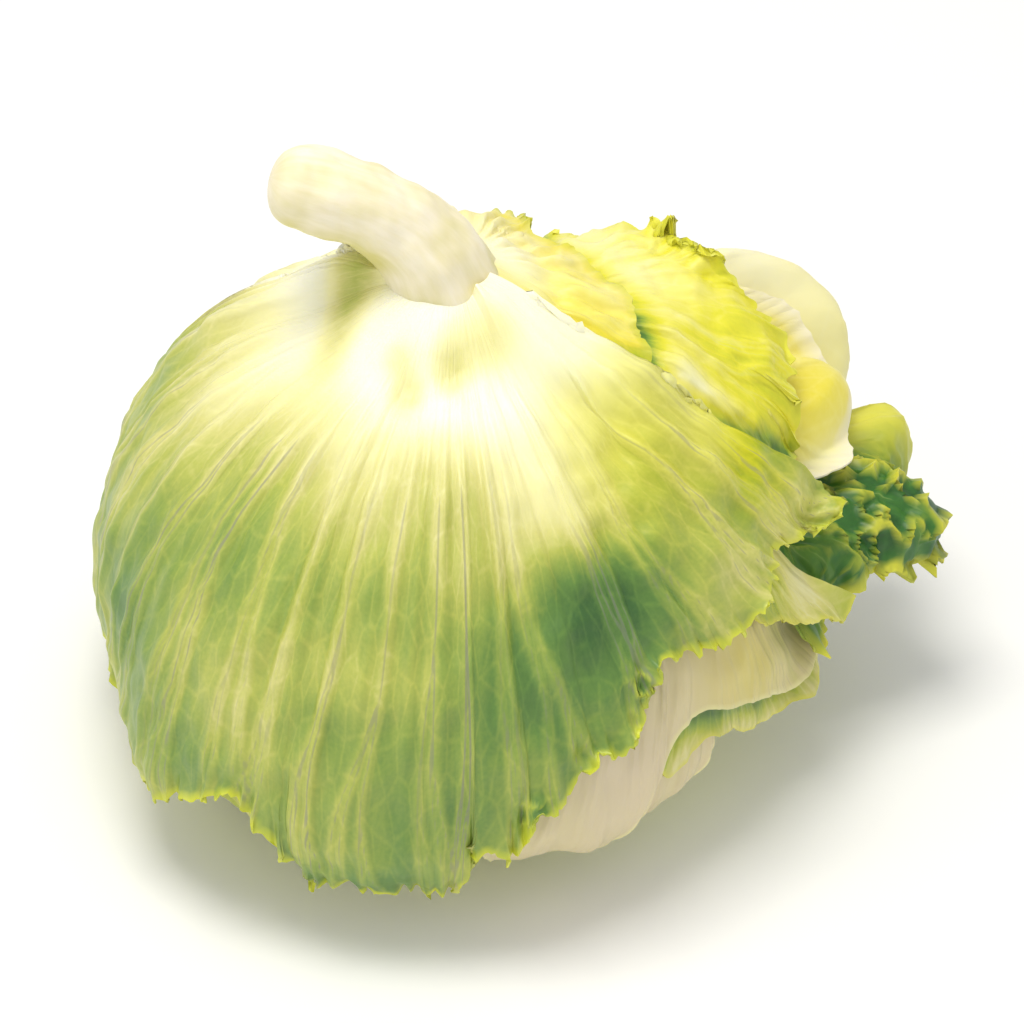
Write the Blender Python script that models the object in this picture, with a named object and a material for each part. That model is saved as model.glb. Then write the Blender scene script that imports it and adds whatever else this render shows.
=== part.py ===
"""A crisphead lettuce, as cut, resting on its crown with its cut stem up.

Every sheet is a real leaf. Leaves are laid over the heart one after another, each clear of those
below it, so no two solids meet. Directions are given on the head as seen from its stem: phi is the
azimuth, 0 towards the front (-Y) and 90 towards the right (+X), and theta is the angle down from
the stem, both in degrees. Radii are measured from the head's widest point on its axis.
"""

import math
from dataclasses import dataclass, field

import bpy
import numpy as np

MM = 0.001

# Driving dimensions, in millimetres.
HEAD_RADIUS = 81.7
HEAD_ABOVE_WIDEST = 89.2
HEAD_BELOW_WIDEST = 36.0
WIDEST_HEIGHT = 34.0
NECK_RISE = 6.0
HEART_INSET = 11.5
HEART_TOP_INSET = 19.0
LEAF_GAP = 0.7
CLEARANCE = 0.45
MARGIN_THICKNESS = 0.9
BASE_THICKNESS = 2.2
FLOOR_CLEARANCE = 0.8
STEM_ROOT_RADIUS = 12.5
STEM_RADIUS = 10.6
STEM_TIP_RADIUS = 9.4
STEM_SEAT_GAP = 0.3
STEM_SEAT_THETA = 10.0

# The map that the layers are worked out on: a flat chart of directions round the stem.
CHART_CELL = 1.5
CHART_REACH = 150.0
CHART_SIDE = int(2 * CHART_REACH / CHART_CELL) + 1
DRAPE_CELLS = 2


@dataclass
class Leaf:
    """One leaf: where it grows from, the outline of its margin, and how it stands off the head.

    The base is (first phi, last phi, theta). A bump or a flare is (phi, theta, width, height): a
    round hill, which a flare raises towards the margin only. Bend is how far the leaf's last side
    curves towards the back (in degrees, so less than 0 is towards the front).
    """

    name: str
    base: tuple
    margin: list
    lift: float
    columns: int
    colour: tuple
    seed: int
    bumps: list = field(default_factory=list)
    flares: list = field(default_factory=list)
    ruffle: float = 1.5
    ruffle_pitch: float = 24.0
    lobe: float = 1.0
    bend: float = 0.0


LEAVES = [
    Leaf(
        name="inner_leaf_back",
        base=(142, 230, 45),
        margin=[(134, 49), (128, 60), (126, 80), (132, 104), (152, 115), (185, 118), (215, 115),
                (236, 104), (242, 80), (239, 60), (234, 49)],
        lift=-9.0, columns=36, colour=(0.74, 0.80, 0.42), seed=3,
    ),
    Leaf(
        name="inner_leaf_left",
        base=(-120, -30, 45),
        margin=[(-128, 49), (-136, 60), (-138, 80), (-124, 104), (-95, 112), (-62, 114), (-34, 112),
                (-14, 104), (-8, 80), (-13, 60), (-22, 49)],
        lift=-9.0, columns=32, colour=(0.76, 0.82, 0.46), seed=5,
    ),
    Leaf(
        name="lower_bulb_leaf",
        base=(32, 60, 46),
        margin=[(27, 51), (23, 70), (22, 90), (28, 103), (37, 106), (46, 103), (52, 96), (55, 86),
                (60, 68), (63, 51)],
        lift=-6.5, columns=28, colour=(0.88, 0.83, 0.70), seed=6, ruffle=0.8, lobe=0.3,
    ),
    Leaf(
        name="lower_right_fold",
        base=(50, 84, 42),
        margin=[(45, 46), (39, 62), (38, 78), (39, 88), (44, 87), (49, 86), (57, 90), (65, 94.5),
                (72, 96.5), (79, 96), (85, 93), (88, 87), (89, 74), (88, 58), (87, 46)],
        lift=-5.0, columns=36, colour=(0.80, 0.84, 0.50), seed=7,
        flares=[(80, 95, 13, 13.0)], ruffle=1.2, lobe=0.5,
    ),
    Leaf(
        name="lower_right_leaf",
        base=(28, 74, 40),
        margin=[(21, 44), (11, 60), (7, 82), (7, 98), (14, 107), (24, 108), (32, 101), (35.5, 94),
                (37, 87), (41, 80), (48, 79), (57, 83.5), (67, 89), (74, 91), (79, 90), (83, 86),
                (84, 72), (83, 58), (79, 44)],
        lift=-4.0, columns=40, colour=(0.88, 0.87, 0.66), seed=11,
        bumps=[(80, 86, 10, 4.0)], ruffle=0.8, lobe=0.3,
    ),
    Leaf(
        name="frilled_right_leaf",
        base=(98, 156, 36),
        margin=[(92, 41), (87, 60), (85, 78), (84, 89), (88, 96), (96, 98), (102, 97.5), (107, 95),
                (112, 92), (118, 89), (125, 88), (135, 91), (147, 94), (157, 89), (164, 76),
                (166, 58), (161, 41)],
        lift=-4.5, columns=60, colour=(0.36, 0.55, 0.20), seed=13,
        bumps=[(104, 92, 10, 39.0), (117, 85, 10, 34.0)], ruffle=4.0, ruffle_pitch=15.0, lobe=1.2,
    ),
    Leaf(
        name="pale_upper_leaf",
        base=(102, 152, 30),
        margin=[(97, 34), (98, 48), (101, 62), (109, 71), (119, 74), (130, 73), (141, 70), (150, 63),
                (157, 53), (159, 43), (156, 34)],
        lift=-2.0, columns=36, colour=(0.93, 0.90, 0.62), seed=17,
        bumps=[(122, 65, 16, 33.0)], ruffle=0.0, lobe=0.4,
    ),
    Leaf(
        name="pale_curled_leaf",
        base=(86, 118, 34),
        margin=[(84, 40), (88, 57), (94, 70), (99, 77), (104, 78), (109, 74), (114, 68), (119, 58),
                (122, 46), (121, 38)],
        lift=-1.5, columns=32, colour=(0.90, 0.88, 0.56), seed=19,
        bumps=[(107, 67, 9, 27.0)], ruffle=0.0, lobe=0.3,
    ),
    Leaf(
        name="folded_tip_leaf",
        base=(62, 84, 36),
        margin=[(57, 40), (58, 55), (60, 62), (62, 67), (68, 73), (76, 81), (82, 88), (87, 91),
                (91, 89), (92, 84), (91, 74), (89, 58), (87, 40)],
        lift=-1.0, columns=28, colour=(0.72, 0.78, 0.36), seed=23,
        flares=[(89, 88, 8, 7.0)], ruffle=1.0, lobe=0.5,
    ),
    Leaf(
        name="wrapper_right_leaf",
        base=(70, 146, 17),
        margin=[(64, 21), (62, 33), (68, 45), (77, 56), (86, 65), (92, 69), (96, 66), (100, 62),
                (106, 58), (110.5, 53), (116, 49), (121, 46.5), (128, 42.5), (135, 40.5), (144, 40),
                (151, 37), (156, 30), (154, 21)],
        lift=0.0, columns=52, colour=(0.80, 0.80, 0.24), seed=29,
        bumps=[(112, 50, 11, 15.0), (135, 41, 8, 16.0)], flares=[(98, 64, 9, 6.0)], ruffle=2.4,
        ruffle_pitch=18.0,
    ),
    Leaf(
        name="wrapper_back_leaf",
        base=(184, 248, 9.6),
        margin=[(176, 16), (165, 38), (158, 66), (163, 90), (180, 102), (204, 107), (228, 105),
                (243, 99), (251, 86), (254, 62), (255, 35), (254, 16)],
        lift=0.0, columns=48, colour=(0.52, 0.66, 0.30), seed=31,
        flares=[(200, 108, 24, 5.0)], ruffle=2.4,
    ),
    Leaf(
        name="wrapper_top_leaf",
        base=(60, 184, 9.6),
        margin=[(50, 14), (53, 24), (62, 31), (72, 32), (80, 30), (88, 28), (103, 25.5), (124, 25),
                (138, 27), (148, 30), (156, 33), (165, 33), (177, 33), (190, 30), (197, 23),
                (193, 14)],
        lift=0.5, columns=40, colour=(0.90, 0.89, 0.52), seed=37, ruffle=1.2, ruffle_pitch=16.0,
        lobe=0.5,
    ),
    Leaf(
        name="wrapper_front_leaf",
        base=(-100, 64, 9.6),
        margin=[(-107, 15), (-116, 34), (-122, 60), (-121, 86), (-106, 96), (-80, 98), (-61, 98),
                (-52, 97.5), (-45, 93), (-37, 89), (-30, 90), (-26, 98), (-22, 104), (-13, 105.5),
                (-3, 105), (3, 101), (6, 92), (11, 91.5), (15, 85), (22, 80.5), (26, 78), (31.5, 77),
                (34.5, 72), (36, 66.5), (39.5, 65), (47, 68), (57, 69.5), (62.5, 68), (66, 65),
                (73, 67), (80, 70), (86, 75), (90, 75), (92, 71), (91, 67)],
        lift=0.0, columns=100, colour=(0.55, 0.68, 0.28), seed=41,
        bumps=[(-84, 101, 15, -5.0)],
        flares=[(-56, 102, 12, 9.0), (-15, 107, 18, 8.0), (91, 72, 7, 12.0)], ruffle=2.2,
        ruffle_pitch=19.0, lobe=0.7, bend=-9.0,
    ),
]

# Crown leaves stand out of the heart as steps: azimuth, half width and reach down from the stem.
CROWN_LEAVES = [(20, 74, 142), (100, 68, 150), (172, 72, 138), (246, 66, 152), (318, 70, 146)]
CROWN_STEP = 1.7
HEART_COLUMNS = 44
HEART_ROWS = 22
HEART_COLOUR = (0.90, 0.88, 0.72)

# The stem's centre line (None is the height of its seat) and its mesh.
STEM_COLOUR = (0.95, 0.93, 0.82)
STEM_PATH = [(0.0, 0.0, None), (3.0, 0.0, 136.0), (-3.0, 0.0, 149.0), (-30.5, 0.0, 157.5)]
STEM_SIDES = 20
STEM_RINGS = 12
STEM_CAP_ANGLES = (25.0, 48.0, 68.0)

# A leaf's rows: share of the way from its base to its margin, and how many columns one step spans.
LEAF_ROWS = [(0.0, 4), (0.14, 4), (0.28, 4), (0.42, 2), (0.55, 2), (0.67, 2), (0.78, 2),
             (0.89, 1), (1.0, 1)]
FRILL_REACH = 22.0
LIFT_ROUNDS = 12
SAMPLES_PER_SIDE = 12


def smooth_step(low, high, value):
    """0 below low, 1 above high, and a smooth S between."""
    share = np.clip((value - low) / (high - low), 0.0, 1.0)
    return share * share * (3.0 - 2.0 * share)


def chart_point(phi, theta):
    """The chart's two coordinates, in degrees, of a direction."""
    return theta * np.sin(np.radians(phi)), -theta * np.cos(np.radians(phi))


def direction(p, q):
    """The unit vector of a chart point."""
    theta = np.radians(np.hypot(p, q))
    turn = np.arctan2(p, -q)
    return np.stack([np.sin(theta) * np.sin(turn), -np.sin(theta) * np.cos(turn), np.cos(theta)], -1)


def chart_of(points):
    """The chart coordinates and the radius of points in the head's own frame."""
    radius = np.linalg.norm(points, axis=-1)
    theta = np.degrees(np.arccos(np.clip(points[..., 2] / radius, -1.0, 1.0)))
    turn = np.arctan2(points[..., 0], -points[..., 1])
    return theta * np.sin(turn), -theta * np.cos(turn), radius


def head_radius(theta):
    """Radius of the whole head: half an ellipsoid over a flatter one, with a rise at the neck."""
    angle = np.radians(theta)
    axis = np.where(angle <= math.pi / 2, HEAD_ABOVE_WIDEST, HEAD_BELOW_WIDEST)
    round_part = 1.0 / np.sqrt((np.sin(angle) / HEAD_RADIUS) ** 2 + (np.cos(angle) / axis) ** 2)
    return round_part + NECK_RISE * np.exp(-((theta / 18.0) ** 2))


def heart_top():
    """Height of the flat seat of the stem, above the widest ring."""
    return (HEAD_ABOVE_WIDEST - HEART_TOP_INSET) * math.cos(math.radians(STEM_SEAT_THETA))


def heart_radius(phi, theta):
    """Radius of the heart: the head less an inset, with its crown leaves as overlapping steps."""
    top = 1.0 - smooth_step(10.0, 75.0, theta)
    low = smooth_step(98.0, 138.0, theta)
    inset = HEART_INSET * (1.0 - low) + (HEART_TOP_INSET - HEART_INSET) * top
    radius = head_radius(theta) - inset
    fade = smooth_step(60.0, 80.0, theta)
    for azimuth, half_width, reach in CROWN_LEAVES:
        apart = np.abs((phi - azimuth + 180.0) % 360.0 - 180.0)
        edge = half_width * np.sqrt(np.clip(1.0 - (theta / reach) ** 4, 0.0, 1.0))
        inside = smooth_step(-3.0, 3.0, edge - apart)
        radius = radius + fade * inside * CROWN_STEP * (0.4 + 0.6 * apart / half_width)
    down = -np.cos(np.radians(theta))
    floor = np.where(down > 0.05, WIDEST_HEIGHT / np.maximum(down, 0.05), 1e3)
    seat = heart_top() / np.maximum(np.cos(np.radians(theta)), 0.05)
    return np.minimum(np.minimum(radius, floor), np.where(theta < 60.0, seat, 1e3))


def spread(chart, cells, largest):
    """The chart with each cell set to the largest, or the mean, of the square of cells round it."""
    for axis in (0, 1):
        shifted = [np.roll(chart, step, axis) for step in range(-cells, cells + 1)]
        chart = np.maximum.reduce(shifted) if largest else sum(shifted) / len(shifted)
    return chart


def read_chart(chart, p, q):
    """Values of the chart between its cells."""
    column = np.clip((p + CHART_REACH) / CHART_CELL, 0, CHART_SIDE - 1.001)
    row = np.clip((q + CHART_REACH) / CHART_CELL, 0, CHART_SIDE - 1.001)
    left, low = column.astype(int), row.astype(int)
    across, up = column - left, row - low
    lower = chart[low, left] * (1 - across) + chart[low, left + 1] * across
    upper = chart[low + 1, left] * (1 - across) + chart[low + 1, left + 1] * across
    return lower * (1 - up) + upper * up


def raise_chart(chart, p, q, radius):
    """Lifts the chart's cells under the given points to at least their radius."""
    column = np.clip(np.rint((p + CHART_REACH) / CHART_CELL).astype(int), 0, CHART_SIDE - 1)
    row = np.clip(np.rint((q + CHART_REACH) / CHART_CELL).astype(int), 0, CHART_SIDE - 1)
    np.maximum.at(chart, (row.ravel(), column.ravel()), radius.ravel())


def samples_of(points, faces):
    """Points spread evenly over each triangle."""
    shares = np.arange(SAMPLES_PER_SIDE + 1) / SAMPLES_PER_SIDE
    weights = np.array([(a, b, 1.0 - a - b) for a in shares for b in shares if a + b <= 1.0 + 1e-9])
    return np.einsum("sk,tkc->tsc", weights, points[np.asarray(faces)])


def lift_clear(points, faces, under):
    """Moves a leaf's points outwards until no part of it is nearer than the clearance to the chart."""
    half = len(points) // 2
    corners = np.asarray(faces) % half
    for _ in range(LIFT_ROUNDS):
        p, q, radius = chart_of(samples_of(points, faces))
        short = (read_chart(under, p, q) + CLEARANCE - radius).max(axis=1)
        if short.max() <= 0.0:
            break
        needed = np.zeros(half)
        np.maximum.at(needed, corners.ravel(), np.repeat(short, 3))
        outward = points / np.linalg.norm(points, axis=1, keepdims=True)
        points = points + outward * np.tile(needed, 2)[:, None]
    return points


def curve_through(points, shares):
    """A Catmull-Rom curve through points, read at shares of its length from 0 to 1."""
    points = np.asarray(points, float)
    steps = np.linalg.norm(np.diff(points, axis=0), axis=1)
    knots = np.concatenate([[0.0], np.cumsum(steps)]) / steps.sum()
    padded = np.vstack([2 * points[0] - points[1], points, 2 * points[-1] - points[-2]])
    index = np.clip(np.searchsorted(knots, shares, side="right") - 1, 0, len(points) - 2)
    t = ((shares - knots[index]) / (knots[index + 1] - knots[index]))[..., None]
    a, b, c, d = (padded[index + k] for k in range(4))
    return 0.5 * (2 * b + (c - a) * t + (2 * a - 5 * b + 4 * c - d) * t**2
                  + (3 * b - a - 3 * c + d) * t**3)


def margin_length(leaf):
    """Rough length of the margin in millimetres."""
    corners = np.stack(chart_point(*np.array(leaf.margin, float).T), -1)
    points = direction(corners[:, 0], corners[:, 1]) * HEAD_RADIUS
    return float(np.linalg.norm(np.diff(points, axis=0), axis=1).sum())


def outline(leaf, u):
    """Base and margin points on the chart for each share u across the leaf."""
    first, last, theta = leaf.base
    base = np.stack(chart_point(first + (last - first) * u, theta), -1)
    corners = np.stack(chart_point(*np.array(leaf.margin, float).T), -1)
    margin = curve_through(corners, u)
    outward = margin - base
    outward /= np.linalg.norm(outward, axis=-1, keepdims=True)
    phase = leaf.seed * 1.7
    ends = smooth_step(0.0, 0.06, u) * smooth_step(0.0, 0.06, 1.0 - u)
    along = math.tau * u * margin_length(leaf)
    waves = np.sin(along / 41.0 + phase) + 0.8 * np.sin(along / 17.0 + 2 * phase)
    return base, margin + outward * (leaf.lobe * ends * waves)[..., None]


def places(leaf, u, v):
    """Chart points of a grid of u across the leaf and v from its base to its margin."""
    base, margin = outline(leaf, u)
    place = base[:, None, :] + (margin - base)[:, None, :] * v[None, :, None]
    bent = 4.0 * leaf.bend * u[:, None] ** 3 * (v * (1.0 - v))[None, :]
    return place[..., 0], place[..., 1] + bent


def hill(p, q, phi, theta, width):
    """A round hill of height 1 on the chart."""
    x, y = chart_point(phi, theta)
    return np.exp(-((p - x) ** 2 + (q - y) ** 2) / (2 * width * width))


def normals_of(grid):
    """Unit normals of a grid of points, pointing out of the head."""
    across = np.gradient(grid, axis=0)
    along = np.gradient(grid, axis=1)
    normal = np.cross(along, across)
    normal /= np.maximum(np.linalg.norm(normal, axis=-1, keepdims=True), 1e-9)
    turned = np.sum(normal * grid, axis=-1).mean() < 0
    return -normal if turned else normal


def lay(leaf, under, covered):
    """Outer points of a leaf and its thickness there, laid over the chart under it."""
    u = np.linspace(0.0, 1.0, leaf.columns + 1)
    v = np.array([share for share, _ in LEAF_ROWS])
    p, q = places(leaf, u, v)
    theta = np.hypot(p, q)
    shown = 1.0 - read_chart(covered, p, q)
    thin = np.clip(1.0 - theta / 90.0, 0.0, 1.0) ** 2
    thickness = MARGIN_THICKNESS + (BASE_THICKNESS - MARGIN_THICKNESS) * thin
    wanted = head_radius(theta) + leaf.lift
    for phi, low, width, height in leaf.bumps:
        wanted = wanted + height * hill(p, q, phi, low, width) * shown
    for phi, low, width, height in leaf.flares:
        wanted = wanted + height * hill(p, q, phi, low, width) * shown * smooth_step(0.45, 1.0, v)
    resting = read_chart(under, p, q) + LEAF_GAP + 1.2 * thickness
    points = direction(p, q) * np.maximum(wanted, resting)[..., None]
    to_margin = np.linalg.norm(points[:, -1] - points[:, 0], axis=-1)[:, None] * (1.0 - v[None, :])
    edge = np.clip(1.0 - to_margin / FRILL_REACH, 0.0, 1.0) ** 2 * shown
    along = (math.tau * u * margin_length(leaf) / leaf.ruffle_pitch)[:, None]
    wave = (np.sin(along + leaf.seed) + 0.5 * np.sin(along / 1.9 + 2.3 * leaf.seed) + 1.5) / 3.0
    points = points + normals_of(points) * (leaf.ruffle * edge * wave)[..., None]
    points[..., 2] = np.maximum(points[..., 2], FLOOR_CLEARANCE - WIDEST_HEIGHT + thickness)
    return points, thickness


def leaf_rows(leaf, under, covered):
    """The leaf's rows from base to margin, each as its outer and its inner points."""
    outer, thickness = lay(leaf, under, covered)
    inner = outer - normals_of(outer) * thickness[..., None]
    return [(outer[::step, row], inner[::step, row]) for row, (_, step) in enumerate(LEAF_ROWS)]


def stitch(coarse, fine):
    """Triangles between two rows of point numbers, equal in count or the second twice as fine."""
    if len(coarse) == len(fine):
        quads = zip(coarse, coarse[1:], fine[1:], fine)
        return [face for a, b, c, d in quads for face in ((a, b, c), (a, c, d))]
    faces = []
    for k in range(len(coarse) - 1):
        a, b, (c, d, e) = coarse[k], coarse[k + 1], fine[2 * k: 2 * k + 3]
        faces += [(a, d, c), (a, b, d), (b, e, d)]
    return faces


def solid_leaf(rows):
    """Points and faces of a closed leaf: all outer points first, with the same triangles inside."""
    points, numbers = [], []
    for side in (0, 1):
        for row in rows:
            numbers.append(list(range(len(points), len(points) + len(row[side]))))
            points.extend(row[side])
    outer, inner = numbers[: len(rows)], numbers[len(rows):]
    faces = []
    for k in range(len(rows) - 1):
        faces += stitch(outer[k], outer[k + 1])
        faces += [face[::-1] for face in stitch(inner[k], inner[k + 1])]
    left = [row[0] for row in outer], [row[0] for row in inner]
    right = [row[-1] for row in outer], [row[-1] for row in inner]
    faces += stitch(inner[0], outer[0]) + stitch(outer[-1], inner[-1])
    faces += stitch(*left) + stitch(right[1], right[0])
    return np.array(points), faces


def make_object(name, points, faces, colour, roughness=0.5):
    """A named mesh object, from points in millimetres in the head's frame."""
    mesh = bpy.data.meshes.new(name)
    lifted = (np.asarray(points) + (0.0, 0.0, WIDEST_HEIGHT)) * MM
    mesh.from_pydata(lifted.tolist(), [], faces)
    mesh.update()
    mesh.calc_loop_triangles()
    signed = sum(
        mesh.vertices[a].co.dot(mesh.vertices[b].co.cross(mesh.vertices[c].co))
        for a, b, c in (triangle.vertices for triangle in mesh.loop_triangles)
    )
    if signed < 0:
        mesh.flip_normals()
    mesh.shade_smooth()
    mesh.set_sharp_from_angle(angle=math.radians(60))
    made = bpy.data.objects.new(name, mesh)
    bpy.context.scene.collection.objects.link(made)
    material = bpy.data.materials.new(name)
    material.use_nodes = True
    shader = material.node_tree.nodes["Principled BSDF"]
    shader.inputs["Base Color"].default_value = (*colour, 1.0)
    shader.inputs["Roughness"].default_value = roughness
    shader.inputs["Metallic"].default_value = 0.0
    mesh.materials.append(material)
    return made


def heart_body():
    """Points and faces of the dense heart, flat where it rests and where the stem sits."""
    rings = np.linspace(0.0, 180.0, HEART_ROWS + 1)[1:-1]
    rings[0] = STEM_SEAT_THETA
    turns = np.linspace(0.0, 360.0, HEART_COLUMNS, endpoint=False)
    phi, theta = np.meshgrid(turns, rings)
    around = direction(*chart_point(phi, theta)) * heart_radius(phi, theta)[..., None]
    top, bottom = (0.0, 0.0, heart_top()), (0.0, 0.0, -WIDEST_HEIGHT)
    points = np.vstack([[top], around.reshape(-1, 3), [bottom]])
    count, last = HEART_COLUMNS, len(points) - 1
    faces = []
    for k in range(count):
        after = (k + 1) % count
        faces.append((0, 1 + k, 1 + after))
        faces.append((last, last - count + after, last - count + k))
        for ring in range(len(rings) - 1):
            a, b = 1 + ring * count + k, 1 + ring * count + after
            faces += [(a, a + count, b + count), (a, b + count, b)]
    return points, faces


def make_stem():
    """The cut stem: a stout stub that leans to the left, with a rounded cut end."""
    seat = heart_top() + WIDEST_HEIGHT + STEM_SEAT_GAP
    path = np.array([(x, y, seat if z is None else z) for x, y, z in STEM_PATH])
    shares = np.linspace(0.0, 1.0, STEM_RINGS)
    weights = [(1 - shares) ** 3, 3 * shares * (1 - shares) ** 2, 3 * shares**2 * (1 - shares), shares**3]
    centres = sum(weight[:, None] * corner for weight, corner in zip(weights, path))
    forward = np.gradient(centres, axis=0)
    forward /= np.linalg.norm(forward, axis=1, keepdims=True)
    forward[0] = (0.0, 0.0, 1.0)
    side = np.array([0.0, 1.0, 0.0])
    up = np.cross(forward, side)
    radii = STEM_RADIUS + (STEM_TIP_RADIUS - STEM_RADIUS) * shares
    radii += (STEM_ROOT_RADIUS - STEM_RADIUS) * (1.0 - smooth_step(0.3, 0.75, shares))
    turns = np.linspace(0.0, math.tau, STEM_SIDES, endpoint=False)
    ring = np.cos(turns)[None, :, None] * up[:, None, :] + np.sin(turns)[None, :, None] * side
    tube = centres[:, None, :] + ring * radii[:, None, None]
    caps = []
    for angle in np.radians(STEM_CAP_ANGLES):
        centre = centres[-1] + forward[-1] * STEM_TIP_RADIUS * 0.8 * math.sin(angle)
        caps.append(centre + ring[-1] * STEM_TIP_RADIUS * math.cos(angle))
    rows = np.vstack([tube, np.array(caps)])
    points = rows.reshape(-1, 3) - (0.0, 0.0, WIDEST_HEIGHT)
    faces = []
    for row in range(len(rows) - 1):
        for k in range(STEM_SIDES):
            a, b = row * STEM_SIDES + k, row * STEM_SIDES + (k + 1) % STEM_SIDES
            faces.append((a, b, b + STEM_SIDES, a + STEM_SIDES))
    faces.append(tuple(range(STEM_SIDES))[::-1])
    faces.append(tuple(range(len(points) - STEM_SIDES, len(points))))
    return make_object("stem", points, faces, STEM_COLOUR)


def covers():
    """For each leaf, a chart of how much the leaves outside it cover it, from 0 to 1."""
    total = np.zeros((CHART_SIDE, CHART_SIDE))
    found = {}
    for leaf in reversed(LEAVES):
        found[leaf.name] = spread(spread(total, 1, largest=True), 2, largest=False)
        p, q = places(leaf, np.linspace(0.0, 1.0, 400), np.linspace(0.0, 1.0, 160))
        raise_chart(total, p, q, np.ones(p.shape))
    return found


def main():
    """Builds the heart and the stem, then lays each leaf over what is already there."""
    for old in list(bpy.data.objects):
        bpy.data.objects.remove(old)
    under = np.zeros((CHART_SIDE, CHART_SIDE))
    covered = covers()
    points, faces = heart_body()
    make_object("heart", points, faces, HEART_COLOUR)
    raise_chart(under, *chart_of(samples_of(points, faces)))
    make_stem()
    for leaf in LEAVES:
        near = spread(under, 1, largest=True)
        draped = spread(spread(under, DRAPE_CELLS, largest=True), DRAPE_CELLS, largest=False)
        points, faces = solid_leaf(leaf_rows(leaf, draped, covered[leaf.name]))
        points = lift_clear(points, faces, near)
        make_object(leaf.name, points, faces, leaf.colour)
        raise_chart(under, *chart_of(samples_of(points, faces)))


main()
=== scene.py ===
"""A crisphead lettuce, dressed: thin frilled leaves over the heart, the cut stem, and a pale studio.

The leaves are laid over the heart one after another, each clear of those below it, on grids fine
enough for frills, teeth and curls. Directions are given as seen from the stem: phi is the azimuth,
0 towards the front and 90 towards the right, and theta is the angle down from the stem, both in
degrees. Lengths are in millimetres until a mesh is made, and radii are measured from the head's
widest point on its axis.
"""

import logging
import math
from dataclasses import dataclass
from enum import Enum

import bpy
import numpy as np
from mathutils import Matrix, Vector


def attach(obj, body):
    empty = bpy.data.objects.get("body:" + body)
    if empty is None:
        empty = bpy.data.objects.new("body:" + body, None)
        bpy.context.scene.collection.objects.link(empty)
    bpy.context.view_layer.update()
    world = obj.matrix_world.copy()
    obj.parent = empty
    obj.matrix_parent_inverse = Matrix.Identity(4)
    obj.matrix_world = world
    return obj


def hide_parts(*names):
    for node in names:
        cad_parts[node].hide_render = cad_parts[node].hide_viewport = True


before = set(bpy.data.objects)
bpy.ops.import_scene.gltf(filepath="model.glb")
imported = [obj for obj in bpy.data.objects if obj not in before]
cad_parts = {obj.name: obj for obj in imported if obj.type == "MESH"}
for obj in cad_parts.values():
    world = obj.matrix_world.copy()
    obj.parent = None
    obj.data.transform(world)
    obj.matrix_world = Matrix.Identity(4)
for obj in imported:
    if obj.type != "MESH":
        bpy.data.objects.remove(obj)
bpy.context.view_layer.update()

LOG = logging.getLogger("lettuce")
BODY = "root"
MM = 0.001
Grid = np.ndarray
Waves = tuple[tuple[float, float, float], ...]

# Waves along a leaf's margin: the height of each, its pitch in millimetres, and how its start
# turns from leaf to leaf.
LOBES: Waves = ((1.0, 41.0, 1.0), (0.8, 17.0, 2.0))
JITTER: Waves = ((1.3, 23.0, 1.0), (0.9, 9.0, 3.0))
FOLDS: Waves = ((0.9, 31.0, 1.0), (0.6, 12.7, 1.9))

FAR = 9.0  # millimetres from a vein, past which the distance isn't followed
TINY = 1e-9  # keeps a division from failing where a length is nothing


class Slot(Enum):
    """The record's material slots."""

    HEART = "heart"
    STEM = "stem"
    INNER = "inner_leaf"
    BLANCHED = "blanched_leaf"
    DARK = "dark_leaf"
    PALE = "pale_leaf"
    YELLOW = "yellow_leaf"
    WRAPPER = "wrapper_leaf"


def smooth_step(low: float, high: float, value: Grid) -> Grid:
    """Works out a smooth S from 0 to 1: 3t^2 - 2t^3, with t the share of the way from low to high.

    Args:
        low: value below which the result is 0.
        high: value above which the result is 1.
        value: where to read it.

    Returns:
        The S at each value.
    """
    share = limited((value - low) / (high - low))
    return share * share * (3.0 - 2.0 * share)


def sines(along: Grid, phase: float, waves: Waves) -> Grid:
    """Adds up height * sin(along / pitch + turn * phase) over the waves.

    Args:
        along: distances in millimetres.
        phase: what sets this leaf's waves apart from another's.
        waves: height, pitch and turn of each.

    Returns:
        The sum at each distance.
    """
    return sum(height * np.sin(along / pitch + turn * phase) for height, pitch, turn in waves)


def limited(value: Grid) -> Grid:
    """Keeps values between 0 and 1."""
    return np.clip(value, 0.0, 1.0)


def unit_vectors(vectors: Grid) -> Grid:
    """Divides vectors by their lengths.

    Args:
        vectors: vectors, along the last axis.

    Returns:
        Vectors of length 1, or of none where there was none.
    """
    return vectors / np.maximum(np.linalg.norm(vectors, axis=-1, keepdims=True), TINY)


def linear_colour(code: str) -> tuple[float, float, float, float]:
    """Turns an sRGB hex code into a linear colour.

    Args:
        code: six hex digits after a hash.

    Returns:
        Red, green, blue and an alpha of 1.
    """
    shares = [int(code[k:k + 2], 16) / 255.0 for k in (1, 3, 5)]
    linear = [s / 12.92 if s <= 0.04045 else ((s + 0.055) / 1.055) ** 2.4 for s in shares]
    return (*linear, 1.0)


def add_node(tree: bpy.types.NodeTree, kind: str, sockets: dict | None = None,
             **settings: object) -> bpy.types.Node:
    """Adds one node, with its settings, its constants and its links.

    Args:
        tree: the material's node tree.
        kind: the node's type name, after its first word ShaderNode.
        sockets: input name or number to a constant, to the output that feeds it, or to the node
            whose first output does.
        settings: properties of the node itself.

    Returns:
        The node.
    """
    node = tree.nodes.new("ShaderNode" + kind)
    for key, value in settings.items():
        setattr(node, key, value)
    for key, value in (sockets or {}).items():
        value = value.outputs[0] if isinstance(value, bpy.types.Node) else value
        if isinstance(value, bpy.types.NodeSocket):
            tree.links.new(value, node.inputs[key])
        else:
            node.inputs[key].default_value = value
    return node


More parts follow.
